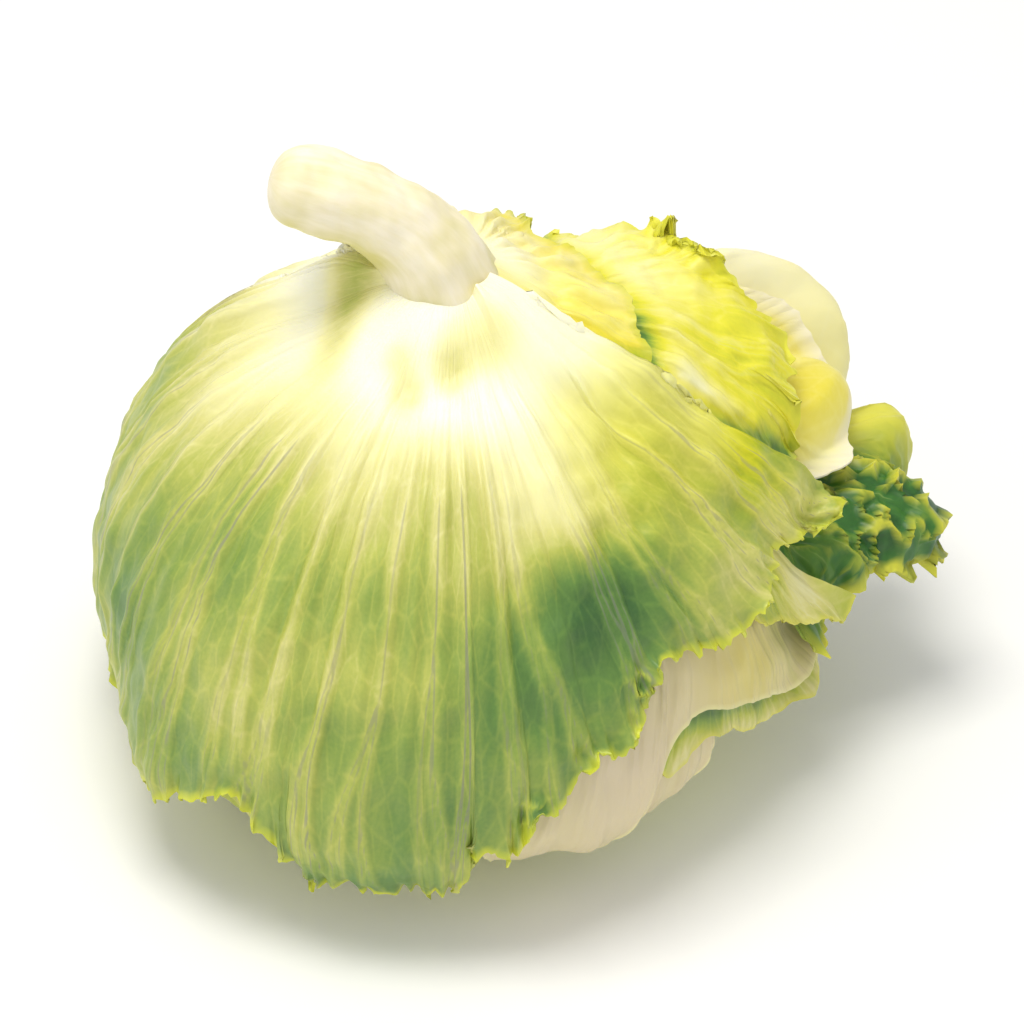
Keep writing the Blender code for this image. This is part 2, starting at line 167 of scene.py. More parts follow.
def new_material(name: str) -> tuple[bpy.types.Material, bpy.types.NodeTree]:
    """Makes an empty node material.

    Args:
        name: the material's name.

    Returns:
        The material and its node tree, with no nodes in it.
    """
    material = bpy.data.materials.new(name)
    material.use_nodes = True
    material.node_tree.nodes.clear()
    return material, material.node_tree


def new_object(name: str, data: bpy.types.ID) -> bpy.types.Object:
    """Makes an object at the origin and puts it in the scene.

    Args:
        name: the object's name.
        data: its mesh, lamp or camera.

    Returns:
        The object.
    """
    made = bpy.data.objects.new(name, data)
    bpy.context.scene.collection.objects.link(made)
    return made


@dataclass(frozen=True)
class LeafTissue:
    """Lettuce blade: soft cells full of water under a thin waxy skin, grown and never machined.

    It gives the eye a satin gloss, colour that runs from cream at the base to green in streaks
    between paler ribs, fine dull veins that fork towards the margin, and light that soaks in.
    Tones are the steps of a colour scale, which the leaf's own "green" attribute reads from 0 to 1.
    Mottle, grain, halo, net and inner_side are how far along that scale the streaks, the grain,
    the pale ribs, the fine net and the leaf's inner side move it.
    """

    name: str
    tones: tuple[tuple[float, str], ...]
    rim: str
    vein: str = "#8A877F"
    warm: str = "#FFFF68"
    vein_strength: float = 0.6
    mottle: float = 0.34
    grain: float = 0.10
    halo: float = 0.13
    net: float = 0.05
    inner_side: float = 0.10
    roughness: float = 0.42
    subsurface: float = 0.18

    def material(self) -> bpy.types.Material:
        """Builds the material.

        Returns:
            The leaf material, which reads the attributes blade, green, rim, side, vein and warm.
        """
        material, tree = new_material(self.name)
        blade = add_node(tree, "Attribute", attribute_name="blade").outputs["Vector"]
        green, rim, side, vein, warm = (
            add_node(tree, "Attribute", attribute_name=key).outputs["Fac"]
            for key in ("green", "rim", "side", "vein", "warm"))

        # Patterns lie along the blade, each with its own width and length in mm: the fine net
        # between the veins, the streaks of deeper green, and the patches where veins show less.
        net_place, streak_place, patch_place = (
            add_node(tree, "VectorMath", {0: blade, 1: (1 / width, 1 / length, 0.0)},
                     operation="MULTIPLY")
            for width, length in ((5.0, 9.0), (7.0, 26.0), (25.0, 120.0)))
        net = add_node(tree, "TexVoronoi", {"Vector": net_place, "Scale": 1.0},
                       voronoi_dimensions="2D", feature="DISTANCE_TO_EDGE")
        streaks = add_node(tree, "TexNoise", {"Vector": streak_place, "Scale": 1.0, "Detail": 3.0,
                                              "Roughness": 0.6})
        patches = add_node(tree, "TexNoise", {"Vector": patch_place, "Scale": 1.0})
        grain = add_node(tree, "TexNoise", {"Vector": blade, "Scale": 1 / 1.3, "Detail": 1.0})

        # The vein attribute holds the distance to the nearest vein, in mm. A vein is a thin dull
        # line on a pale rib, about five times as wide. The other ranges are the net's own lines,
        # how green the blade is, how much the veins show, and how broken the coloured rim is.
        line, halo, net_line, depth, showing, patchy = (
            add_node(tree, "MapRange", {"Value": value, "From Min": low, "From Max": high,
                                        "To Min": first, "To Max": last}, interpolation_type=way)
            for value, low, high, first, last, way in (
                (vein, 0.08, 0.38, 1.0, 0.0, "SMOOTHSTEP"), (vein, 0.2, 2.4, 1.0, 0.0, "SMOOTHSTEP"),
                (net, 0.0, 0.13, 1.0, 0.0, "SMOOTHSTEP"), (green, 0.05, 0.5, 0.0, 1.0, "SMOOTHSTEP"),
                (patches, 0.35, 0.62, 0.15, 1.0, "LINEAR"), (streaks, 0.3, 0.6, 0.45, 1.0, "LINEAR")))

        # The tone: what the patterns add counts only where the blade is green.
        uneven, fine = (add_node(tree, "Math", {0: pattern, 1: 0.5}, operation="SUBTRACT")
                        for pattern in (streaks, grain))
        tone = add_node(tree, "Math", {0: uneven, 1: self.mottle}, operation="MULTIPLY")
        for value, factor in ((fine, self.grain), (halo, -self.halo), (net_line, -self.net)):
            tone = add_node(tree, "Math", {0: value, 1: factor, 2: tone}, operation="MULTIPLY_ADD")
        tone = add_node(tree, "Math", {0: tone, 1: depth, 2: green}, operation="MULTIPLY_ADD")
        tone = add_node(tree, "Math", {0: side, 1: -self.inner_side, 2: tone},
                        operation="MULTIPLY_ADD")
        ramp = add_node(tree, "ValToRGB", {"Fac": tone})
        steps = ramp.color_ramp.elements
        for step, (place, code) in ((steps[0], self.tones[0]), (steps[-1], self.tones[-1])):
            step.position, step.color = place, linear_colour(code)
        for place, code in self.tones[1:-1]:
            steps.new(place).color = linear_colour(code)

        # Over the tone lie the warm patches, the veins' lines and the rim's colour.
        tint = line
        for factor in (depth, showing, self.vein_strength):
            tint = add_node(tree, "Math", {0: tint, 1: factor}, operation="MULTIPLY")
        edge = add_node(tree, "Math", {0: rim, 1: patchy}, operation="MULTIPLY")
        colour = ramp.outputs["Color"]
        for share, code, way in ((warm, self.warm, "MULTIPLY"), (tint, self.vein, "MIX"),
                                 (edge, self.rim, "MIX")):
            colour = add_node(tree, "Mix", {0: share, 6: colour, 7: linear_colour(code)},
                              data_type="RGBA", blend_type=way).outputs[2]

        # Ribs stand 0.5 mm proud, and the skin between the net's lines swells in small blisters.
        swell = 0.0
        for value, share in ((net, 0.5), (halo, 0.9), (streaks, 0.7)):
            swell = add_node(tree, "Math", {0: value, 1: share, 2: swell}, operation="MULTIPLY_ADD")
        bump = add_node(tree, "Bump", {"Strength": 0.55, "Distance": 0.6 * MM, "Height": swell})
        shader = add_node(tree, "BsdfPrincipled", {
            "Base Color": colour, "Normal": bump, "Roughness": self.roughness, "IOR": 1.42,
            "Subsurface Weight": self.subsurface, "Subsurface Radius": (1.0, 0.9, 0.3),
            "Subsurface Scale": 2.0 * MM, "Coat Weight": 0.12, "Coat Roughness": 0.30})
        add_node(tree, "OutputMaterial", {"Surface": shader})
        return material


@dataclass(frozen=True)
class StemTissue:
    """Lettuce stem: dense cream-white pith fibres under a smooth skin, cut with a knife.

    It gives the eye a pale satin surface with faint long streaks, and painted shade makes it deeper
    yellow at the root, in the grooves between its ridges and underneath.
    """

    name: str = "cut_lettuce_stem"
    pale: str = "#FCF2D8"
    streak_and_shade: str = "#DCD48E"
    roughness: float = 0.5

    def material(self) -> bpy.types.Material:
        """Builds the material.

        Returns:
            The stem material, which reads the attributes blade and green.
        """
        material, tree = new_material(self.name)
        blade = add_node(tree, "Attribute", attribute_name="blade").outputs["Vector"]
        green = add_node(tree, "Attribute", attribute_name="green").outputs["Fac"]

        # Fibres are 2.5 mm across and 16 mm long, and patches of deeper cream are 12 mm across.
        fibres = add_node(tree, "VectorMath", {0: blade, 1: (1 / 2.5, 1 / 16.0, 0.0)},
                          operation="MULTIPLY")
        streaks = add_node(tree, "TexNoise", {"Vector": fibres, "Scale": 1.0, "Detail": 4.0,
                                              "Roughness": 0.6})
        place = add_node(tree, "TexCoord").outputs["Object"]
        patches = add_node(tree, "TexNoise", {"Vector": place, "Scale": 1 / 0.012, "Detail": 2.0})
        mixed = add_node(tree, "Math", {0: streaks, 1: 0.5, 2: patches}, operation="MULTIPLY_ADD")
        # The green attribute carries painted shade: deeper yellow at the root, in the grooves between the
        # ridges and on the underside.
        mixed = add_node(tree, "Math", {0: green, 1: mixed}, operation="ADD")
        share = add_node(tree, "MapRange", {"Value": mixed, "From Min": 0.6, "From Max": 1.15})
        colour = add_node(tree, "Mix", {0: share, 6: linear_colour(self.pale),
                                        7: linear_colour(self.streak_and_shade)}, data_type="RGBA").outputs[2]
        bump = add_node(tree, "Bump", {"Strength": 0.4, "Distance": 0.5 * MM, "Height": mixed})
        shader = add_node(tree, "BsdfPrincipled", {
            "Base Color": colour, "Normal": bump, "Roughness": self.roughness, "IOR": 1.42,
            "Subsurface Weight": 0.2, "Subsurface Radius": (1.0, 0.9, 0.6),
            "Subsurface Scale": 2.5 * MM})
        add_node(tree, "OutputMaterial", {"Surface": shader})
        return material


@dataclass(frozen=True)
class StudioPaper:
    """Seamless paper of a studio floor: matt, near white, with hardly any grain."""

    name: str = "studio_paper"
    pale: str = "#FFFFFF"

    def material(self) -> bpy.types.Material:
        """Builds the material.

        Returns:
            The floor material.
        """
        material, tree = new_material(self.name)
        place = add_node(tree, "TexCoord").outputs["Object"]
        grain = add_node(tree, "TexNoise", {"Vector": place, "Scale": 1 / 0.002})
        bump = add_node(tree, "Bump", {"Strength": 0.05, "Distance": 0.1 * MM, "Height": grain})
        shader = add_node(tree, "BsdfPrincipled", {
            "Base Color": linear_colour(self.pale), "Normal": bump, "Roughness": 0.9})
        add_node(tree, "OutputMaterial", {"Surface": shader})
        return material


WRAPPER_TISSUE = LeafTissue(
    name="lettuce_wrapper_blade",
    tones=((0.0, "#FFFCE0"), (0.14, "#F6F0B2"), (0.30, "#DAD684"), (0.46, "#BCC25C"),
           (0.62, "#95AA4C"), (0.80, "#688D42"), (1.0, "#426A34")),
    rim="#DCE03A", warm="#FCFF30")
PALE_TISSUE = LeafTissue(
    name="lettuce_pale_blade",
    tones=((0.0, "#FFFADC"), (0.30, "#F8EDA2"), (0.62, "#ECDD5C"), (0.85, "#CCCB3C"), (1.0, "#7E9838")),
    rim="#F3E95A", vein="#D8D080", vein_strength=0.25, mottle=0.20, halo=0.12)
YELLOW_TISSUE = LeafTissue(
    name="lettuce_yellow_blade",
    tones=((0.0, "#FFFDDC"), (0.22, "#F8F084"), (0.46, "#E8E238"), (0.64, "#CFD232"),
           (0.82, "#9AB436"), (1.0, "#4C8030")),
    rim="#E9E650", vein="#DDE08A", vein_strength=0.35, mottle=0.42)
CREAM_TISSUE = LeafTissue(
    name="lettuce_cream_blade",
    tones=((0.0, "#FFFADC"), (0.30, "#F8EDA2"), (0.62, "#ECDD5C"), (0.85, "#C2C83A"), (1.0, "#6E9032")),
    rim="#C6CA34", vein="#D8D080", vein_strength=0.25, mottle=0.20, halo=0.12)
CURLED_TISSUE = LeafTissue(
    name="lettuce_curled_blade",
    tones=((0.0, "#FFFAE0"), (0.35, "#F8EC9C"), (0.7, "#ECDC48"), (1.0, "#B4BC38")),
    rim="#FFF6D8", vein="#E8E2A0", vein_strength=0.2, mottle=0.20, halo=0.08)
DARK_TISSUE = LeafTissue(
    name="lettuce_dark_blade",
    tones=((0.0, "#E2DE50"), (0.3, "#A8B43C"), (0.55, "#6A9434"), (0.8, "#3C742C"), (1.0, "#20541F")),
    rim="#E2DE46", vein="#B9CC78", vein_strength=0.3, mottle=0.40)
INNER_TISSUE = LeafTissue(
    name="lettuce_inner_blade",
    tones=((0.0, "#F4EDC2"), (0.35, "#DCD684"), (0.6, "#BAC246"), (0.8, "#8BA63E"), (1.0, "#547C34")),
    rim="#DEDA54", vein="#E8E8B4", vein_strength=0.3)
# The beige of blanched tissue, darkened further as painted shade: these low leaves face down, away from the
# key lamp.
BLANCHED_SHADED_TISSUE = LeafTissue(
    name="lettuce_blanched_shaded_blade",
    tones=((0.0, "#E6D4B6"), (0.4, "#DCCF98"), (0.7, "#CFCB78"), (1.0, "#9AA850")),
    rim="#F0E8A8", vein="#B4AA88", vein_strength=0.3, mottle=0.34, halo=0.08)
HEART_TISSUE = LeafTissue(
    name="lettuce_heart_blade",
    tones=((0.0, "#FCF9DE"), (0.5, "#E9E8A0"), (1.0, "#B9C95C")),
    rim="#EDE98C", vein="#F6F3CC", vein_strength=0.3, mottle=0.3)


@dataclass(frozen=True)
class HeadProfile:
    """The round head under its leaves: half an ellipsoid over a flatter one, with a rise at the neck."""

    radius: float = 81.7
    above: float = 89.2
    below: float = 36.0
    widest_height: float = 34.0
    neck_rise: float = 6.0
    neck_width: float = 18.0

    def at(self, theta: Grid) -> Grid:
        """Works out the head's radius in a direction.

        The ellipse 1 / sqrt((sin/a)^2 + (cos/b)^2), plus a bell curve round the stem.

        Args:
            theta: angles down from the stem, in degrees.

        Returns:
            Radii in millimetres.
        """
        angle = np.radians(theta)
        axis = np.where(angle <= math.pi / 2, self.above, self.below)
        body = 1.0 / np.sqrt((np.sin(angle) / self.radius) ** 2 + (np.cos(angle) / axis) ** 2)
        return body + self.neck_rise * np.exp(-((theta / self.neck_width) ** 2))


class DirectionChart:
    """A flat map of directions round the stem, which holds how far out the pile of leaves reaches.

    A direction's place is theta away from the middle, at its azimuth: p = theta sin(phi) and
    q = -theta cos(phi), in degrees.
    """

    def __init__(self, cell: float = 1.5, reach: float = 150.0) -> None:
        """Makes an empty chart.

        Args:
            cell: size of a cell, in degrees.
            reach: half the chart's side, in degrees.
        """
        self.cell, self.reach = cell, reach
        self.side = int(2 * reach / cell) + 1
        self.height = np.zeros((self.side, self.side))

    @staticmethod
    def place(phi: Grid, theta: Grid) -> tuple[Grid, Grid]:
        """Gives the chart's coordinates of a direction.

        Args:
            phi: azimuths in degrees.
            theta: angles down from the stem, in degrees.

        Returns:
            p and q.
        """
        return theta * np.sin(np.radians(phi)), -theta * np.cos(np.radians(phi))

    @staticmethod
    def direction(p: Grid, q: Grid) -> Grid:
        """Gives the unit vectors of places on the chart.

        Args:
            p: first coordinates.
            q: second coordinates.

        Returns:
            Vectors, with one axis more than p.
        """
        theta, turn = np.radians(np.hypot(p, q)), np.arctan2(p, -q)
        return np.stack([np.sin(theta) * np.sin(turn), -np.sin(theta) * np.cos(turn), np.cos(theta)], -1)

    @staticmethod
    def of(points: Grid) -> tuple[Grid, Grid, Grid]:
        """Gives the places and radii of points.

        Args:
            points: places in the head's own frame.

        Returns:
            p, q and the radius.
        """
        radius = np.linalg.norm(points, axis=-1)
        theta = np.degrees(np.arccos(np.clip(points[..., 2] / radius, -1.0, 1.0)))
        turn = np.arctan2(points[..., 0], -points[..., 1])
        return theta * np.sin(turn), -theta * np.cos(turn), radius

    def read(self, table: Grid, p: Grid, q: Grid) -> Grid:
        """Reads a table of this chart's size between its cells, as the mean of the four round it.

        Args:
            table: values, one a cell.
            p: first coordinates.
            q: second coordinates.

        Returns:
            The value at each place.
        """
        column = np.clip((p + self.reach) / self.cell, 0, self.side - 1.001)
        row = np.clip((q + self.reach) / self.cell, 0, self.side - 1.001)
        left, low = column.astype(int), row.astype(int)
        across, up = column - left, row - low
        lower = table[low, left] * (1 - across) + table[low, left + 1] * across
        upper = table[low + 1, left] * (1 - across) + table[low + 1, left + 1] * across
        return lower * (1 - up) + upper * up

    def raise_to(self, table: Grid, p: Grid, q: Grid, value: Grid) -> None:
        """Lifts a table's cells under places to at least a value.

        Args:
            table: values, one a cell, which are changed.
            p: first coordinates.
            q: second coordinates.
            value: what each place asks for.
        """
        column = np.clip(np.rint((p + self.reach) / self.cell).astype(int), 0, self.side - 1)
        row = np.clip(np.rint((q + self.reach) / self.cell).astype(int), 0, self.side - 1)
        np.maximum.at(table, (row.ravel(), column.ravel()), np.asarray(value).ravel())

    @staticmethod
    def spread(table: Grid, cells: int, largest: bool) -> Grid:
        """Sets each cell to the largest, or the mean, of the square of cells round it.

        Args:
            table: values, one a cell.
            cells: how many cells away the square reaches.
            largest: whether it takes the largest and not the mean.

        Returns:
            A new table.
        """
        for axis in (0, 1):
            shifted = [np.roll(table, step, axis) for step in range(-cells, cells + 1)]
            table = np.maximum.reduce(shifted) if largest else sum(shifted) / len(shifted)
        return table


@dataclass(frozen=True)
class Ripples:
    """A smooth random field in space: sines in random directions, of about one wavelength."""

    wavelength: float
    seed: int
    waves: int = 12

    def at(self, points: Grid) -> Grid:
        """Adds up sin(k . point + phase) over the waves, scaled to swing by about 1.

        Args:
            points: places in millimetres.

        Returns:
            The field at each place.
        """
        source = np.random.default_rng(self.seed)
        ways = unit_vectors(source.normal(size=(self.waves, 3)))
        lengths = self.wavelength * source.uniform(0.7, 1.4, self.waves)
        phases = source.uniform(0.0, math.tau, self.waves)
        turns = points @ (math.tau * ways / lengths[:, None]).T + phases
        return np.sin(turns).sum(axis=-1) / math.sqrt(self.waves / 2.0)


@dataclass(frozen=True)
class Hill:
    """A round hill on the chart: its direction, its width in degrees and its height."""

    phi: float
    theta: float
    width: float
    height: float

    def at(self, p: Grid, q: Grid) -> Grid:
        """Works out the bell curve height * exp(-distance^2 / 2 width^2).

        Args:
            p: first coordinates.
            q: second coordinates.

        Returns:
            The hill's height at each place.
        """
        x, y = DirectionChart.place(self.phi, self.theta)
        return self.height * np.exp(-((p - x) ** 2 + (q - y) ** 2) / (2 * self.width ** 2))


def hills(group: tuple[Hill, ...], p: Grid, q: Grid) -> Grid:
    """Adds up the hills of a group.

    Args:
        group: the hills, or none.
        p: first coordinates.
        q: second coordinates.

    Returns:
        Their height at each place.
    """
    return sum((hill.at(p, q) for hill in group), np.zeros(p.shape))


@dataclass(frozen=True)
class Curl:
    """A place where the margin rolls outwards: its hill, how far it rolls back, and from how far
    inside the margin, in mm."""

    hill: Hill
    roll: float
    reach: float = 9.0


@dataclass(frozen=True)
class Frill:
    """The fine form of a margin, all in millimetres: waves across the blade, and teeth along it."""

    height: float = 1.1
    pitch: float = 7.0
    reach: float = 10.0
    tooth: float = 1.3
    tooth_pitch: float = 4.6
    rim: float = 2.4


def normals_of(grid: Grid) -> Grid:
    """Works out unit normals of a grid of points: the cross product of its two ways of running.

    Args:
        grid: points, by column and row.

    Returns:
        Normals that point out of the head.
    """
    normal = unit_vectors(np.cross(np.gradient(grid, axis=1), np.gradient(grid, axis=0)))
    return -normal if np.sum(normal * grid, axis=-1).mean() < 0 else normal


def curve_through(points: Grid, shares: Grid) -> Grid:
    """Reads a smooth curve through points: on each stretch, the cubic whose slopes at its ends are
    half the step between the neighbours there.

    Args:
        points: what the curve goes through.
        shares: how far along the curve, from 0 to 1 of its length.

    Returns:
        A point for each share.
    """
    points = np.asarray(points, float)
    steps = np.linalg.norm(np.diff(points, axis=0), axis=1)
    knots = np.concatenate([[0.0], np.cumsum(steps)]) / steps.sum()
    padded = np.vstack([2 * points[0] - points[1], points, 2 * points[-1] - points[-2]])
    index = np.clip(np.searchsorted(knots, shares, side="right") - 1, 0, len(points) - 2)
    t = ((shares - knots[index]) / (knots[index + 1] - knots[index]))[..., None]
    a, b, c, d = (padded[index + k] for k in range(4))
    return 0.5 * (2 * b + (c - a) * t + (2 * a - 5 * b + 4 * c - d) * t**2
                  + (3 * b - a - 3 * c + d) * t**3)


def distance_to_line(points: Grid, line: Grid) -> Grid:
    """Works out how far points are from a bent line: the least distance to any of its stretches.

    Args:
        points: places, by column and row.
        line: the bent line's corners.

    Returns:
        Distances, by column and row.
    """
    flat = points.reshape(-1, 3).astype(np.float32)
    least = np.full(len(flat), np.inf, np.float32)
    for start, end in zip(line[:-1].astype(np.float32), line[1:].astype(np.float32)):
        along = end - start
        share = limited((flat - start) @ along / max(float(along @ along), TINY))
        away = flat - start - share[:, None] * along
        np.minimum(least, np.einsum("ij,ij->i", away, away), out=least)
    return np.sqrt(least).reshape(points.shape[:-1])


class MeshMaker:
    """Turns grids of points into closed mesh objects that ride on the head."""

    def __init__(self, lift: float, sharpest: float = 70.0) -> None:
        """Keeps how high the head's widest ring is above the floor.

        Args:
            lift: that height in millimetres.
            sharpest: the angle between faces, in degrees, past which an edge stays sharp.
        """
        self.lift, self.sharpest = lift, sharpest

    @staticmethod
    def shell_faces(columns: int, rows: int) -> Grid:
        """Lists the quads of a closed shell of two grids of points, one after the other.

        Each grid's cells are one quad, the second grid's turned round, and a strip of quads round
        the border joins the two.

        Args:
            columns: points across.
            rows: points along.

        Returns:
            Point numbers, four a face.
        """
        number = np.arange(columns * rows).reshape(columns, rows)
        outer = np.stack([number[:-1, :-1], number[1:, :-1], number[1:, 1:], number[:-1, 1:]], -1)
        outer = outer.reshape(-1, 4)
        border = np.concatenate([number[:-1, 0], number[-1, :-1], number[:0:-1, -1], number[0, :0:-1]])
        after = np.roll(border, -1)
        strip = np.stack([after, border, border + number.size, after + number.size], -1)
        return np.vstack([outer, outer[:, ::-1] + number.size, strip])

    @staticmethod
    def outwards(points: Grid, faces: Grid) -> Grid:
        """Turns all faces round if the solid that they close has less than no volume.

        Args:
            points: corners.
            faces: quads.

        Returns:
            The quads, facing outwards.
        """
        a, b, c, d = (points[faces[:, k]] for k in range(4))
        volume = np.sum(a * (np.cross(b, c) + np.cross(c, d)))
        return faces if volume > 0 else faces[:, ::-1]

    @staticmethod
    def tube_faces(number: Grid) -> Grid:
        """Lists the quads of a tube whose rings close along the first axis.

        Args:
            number: the points' numbers, by place on the ring and by ring.

        Returns:
            Point numbers, four a face.
        """
        after = np.roll(number, -1, axis=0)
        return np.stack([number[:, :-1], after[:, :-1], after[:, 1:], number[:, 1:]], -1).reshape(-1, 4)

    def make(self, name: str, points: Grid, faces: Grid, fields: dict[str, Grid],
             material: bpy.types.Material) -> bpy.types.Object:
        """Makes the object, with its attributes and its material.

        Args:
            name: the piece's name.
            points: corners in the head's frame, in millimetres, by grid.
            faces: quads.
            fields: attribute name to one number, or three, for each point, by grid.
            material: what it is made of.

        Returns:
            The object, at the origin.
        """
        mesh = bpy.data.meshes.new(name)
        points = points.reshape(-1, 3)
        placed = (points + (0.0, 0.0, self.lift)) * MM
        mesh.from_pydata(placed.tolist(), [], self.outwards(points, faces).tolist())
        for key, values in fields.items():
            wide = values.size == points.size
            layer = mesh.attributes.new(key, "FLOAT_VECTOR" if wide else "FLOAT", "POINT")
            layer.data.foreach_set("vector" if wide else "value", values.astype(np.float32).ravel())
        mesh.shade_smooth()
        mesh.set_sharp_from_angle(angle=math.radians(self.sharpest))
        mesh.materials.append(material)
        return new_object(name, mesh)


@dataclass
class Leaf:
    """One leaf: where it grows from, the outline of its margin, and how it stands off the head.

    The base is (first phi, last phi, theta) and the margin runs round the blade from one end of it
    to the other. Bend is how far the last side curves towards the back, in degrees. Bumps raise the
    blade, and flares raise only its margin. The collar is how far the base rises along the stem,
    and tangles are where the blade is crumpled into tight folds.

    Tone is the "green" of the blade: at its base, at its margin, and the thetas between which it
    changes. Tints add to it, and some of them are painted shade in creases, under the stem and along
    the gaps between leaves; overlap_shade adds painted shade where the leaves outside this one hide
    the blade, and warmth is where the tissue's warm colour multiplies it.

    Plain_end is the share of the margin at each side that has no lobes and teeth. Relief_below is
    how much of the ribs and frills stays where the leaf is hidden. Gap, blend and clearance keep
    the leaf off the pile below, in millimetres.
    """

    node: str
    slot: Slot
    tissue: LeafTissue
    base: tuple[float, float, float]
    margin: tuple[tuple[float, float], ...]
    lift: float
    seed: int
    columns: int = 300
    rows: int = 64
    bumps: tuple[Hill, ...] = ()
    flares: tuple[Hill, ...] = ()
    ruffle: float = 1.5
    ruffle_pitch: float = 24.0
    ruffle_reach: float = 22.0
    lobe: float = 1.0
    bend: float = 0.0
    frill: Frill = Frill()
    curls: tuple[Curl, ...] = ()
    rib: float = 0.35
    rib_pitch: float = 15.0
    crinkle: float = 0.35
    crinkle_sizes: tuple[float, float] = (15.0, 6.5)
    vein_pitch: float = 17.0
    vein_ridge: float = 1.7
    collar: float = 0.0
    collar_thetas: tuple[float, float] = (5.0, 24.0)
    tangles: tuple[Hill, ...] = ()
    tangle_height: float = 3.5
    tangle_size: float = 12.0
    tone: tuple[float, float, float, float] = (0.1, 0.6, 30.0, 80.0)
    tints: tuple[Hill, ...] = ()
    warmth: tuple[Hill, ...] = ()
    overlap_shade: float = 0.0
    fold_shade: float = 0.25
    patch_size: float = 30.0
    patch_tone: float = 0.04
    plain_end: float = 0.06
    relief_below: float = 0.15
    margin_thickness: float = 0.55
    base_thickness: float = 2.0
    thinnest_theta: float = 90.0
    gap: float = 0.6
    blend: float = 1.0
    clearance: float = 0.3
    floor_clearance: float = 0.9

    def steps_along(self) -> Grid:
        """Gives the rows' shares from base to margin, which are closest together at the margin."""
        share = np.linspace(0.0, 1.0, self.rows + 1)
        return 0.35 * share + 0.65 * (1.0 - (1.0 - share) ** 2)

    def margin_length(self, radius: float) -> float:
        """Measures the margin roughly.

        Args:
            radius: the head's radius.

        Returns:
            The length of straight lines between its listed places, in millimetres.
        """
        corners = DirectionChart.direction(*DirectionChart.place(*np.array(self.margin, float).T))
        return float(np.linalg.norm(np.diff(corners * radius, axis=0), axis=1).sum())

    def places(self, u: Grid, v: Grid, length: float) -> tuple[Grid, Grid, Grid]:
        """Lays a fan of straight lines on the chart, from the base's arc to the margin's curve.

        The margin moves along its line by slow lobes, the sum of two sines. Teeth of two sizes,
        which are 1 - 2|sin| of the way along the margin so that they point outwards, push it square
        to itself, by the fifth power of the share from the base, and only where the lines meet it
        openly. Bend moves the last side by u^3 times the arch v(1 - v).

        Args:
            u: shares across the leaf.
            v: shares from the base to the margin.
            length: the margin's length in millimetres.

        Returns:
            p and q, by column and row, and how openly each column meets the margin, from 0 to 1.
        """
        first, last, theta = self.base
        base = np.stack(DirectionChart.place(first + (last - first) * u, theta), -1)
        corners = np.stack(DirectionChart.place(*np.array(self.margin, float).T), -1)
        margin = curve_through(corners, u)
        outward = unit_vectors(margin - base)
        phase = self.seed * 1.7
        ends = smooth_step(0.0, self.plain_end, u) * smooth_step(0.0, self.plain_end, 1.0 - u)
        along = math.tau * u * length
        lobes = self.lobe * sines(along, phase, LOBES)
        jitter = sines(along, phase, JITTER)
        coarse, sharp = (
            1.0 - 2.0 * np.abs(np.sin(0.5 * along / (self.frill.tooth_pitch * wider) + turn * jitter))
            for wider, turn in ((2.7, 1.0), (1.0, 2.0)))
        teeth = self.frill.tooth * (0.6 * coarse + 0.5 * sharp) / 1.43
        margin = margin + outward * (ends * lobes)[..., None]
        tangent = np.gradient(margin, axis=0)
        square = unit_vectors(np.stack([tangent[:, 1], -tangent[:, 0]], -1))
        square *= np.sign(np.sum(square * outward))
        open_share = smooth_step(0.15, 0.6, np.sum(square * outward, axis=-1))
        open_share = open_share * smooth_step(6.0, 24.0, np.linalg.norm(margin - base, axis=-1))
        onward = v[None, :, None]
        place = base[:, None, :] + (margin - base)[:, None, :] * onward
        place = place + (square * (ends * open_share * teeth)[:, None])[:, None, :] * onward ** 5
        bent = 4.0 * self.bend * u[:, None] ** 3 * (v * (1.0 - v))[None, :]
        return place[..., 0], place[..., 1] + bent, open_share

    def veins(self, u: Grid, v: Grid, length: float, points: Grid) -> Grid:
        """Works out how far each point is from the nearest vein.

        Main veins start at even shares of the base, each with a slow wobble of two sines. Each
        forks twice: a branch leaves its parent by the power 0.8 of the way that is left.

        Args:
            u: shares across the leaf.
            v: shares from the base to the margin.
            length: the margin's length in millimetres.
            points: the blade, by column and row.

        Returns:
            Distances in millimetres, by column and row.
        """
        source = np.random.default_rng(self.seed)
        count = max(3, round(length / self.vein_pitch))
        phase = source.uniform(0.0, math.tau, (count, 1))
        start = (np.arange(count)[:, None] + 0.5 + source.uniform(-0.3, 0.3, (count, 1))) / count
        main = start + (1.8 * np.sin(6.0 * v + phase) + 0.8 * np.sin(15.0 * v + 2 * phase)) / length
        lines, parents = [main], [main]
        for soonest, latest, share in ((0.25, 0.6, 0.5), (0.55, 0.85, 0.25)):
            grown = []
            for parent in parents:
                begin = source.uniform(soonest, latest, (count, 1))
                turn = source.choice([-1.0, 1.0], (count, 1)) * source.uniform(0.6, 1.0, (count, 1))
                on = limited((v - begin) / (1.0 - begin))
                branch = parent + turn * share / count * on ** 0.8
                grown.append(np.where(v > begin, branch, FAR))
            lines, parents = lines + grown, parents + grown
        apart = np.abs(u[:, None, None] - np.vstack(lines).T[None, :, :]).min(axis=-1)
        across, onward = np.gradient(points, u, axis=0), np.gradient(points, axis=1)
        wide = np.linalg.norm(np.cross(across, onward), axis=-1)
        return np.minimum(apart * wide / np.maximum(np.linalg.norm(onward, axis=-1), TINY), FAR)

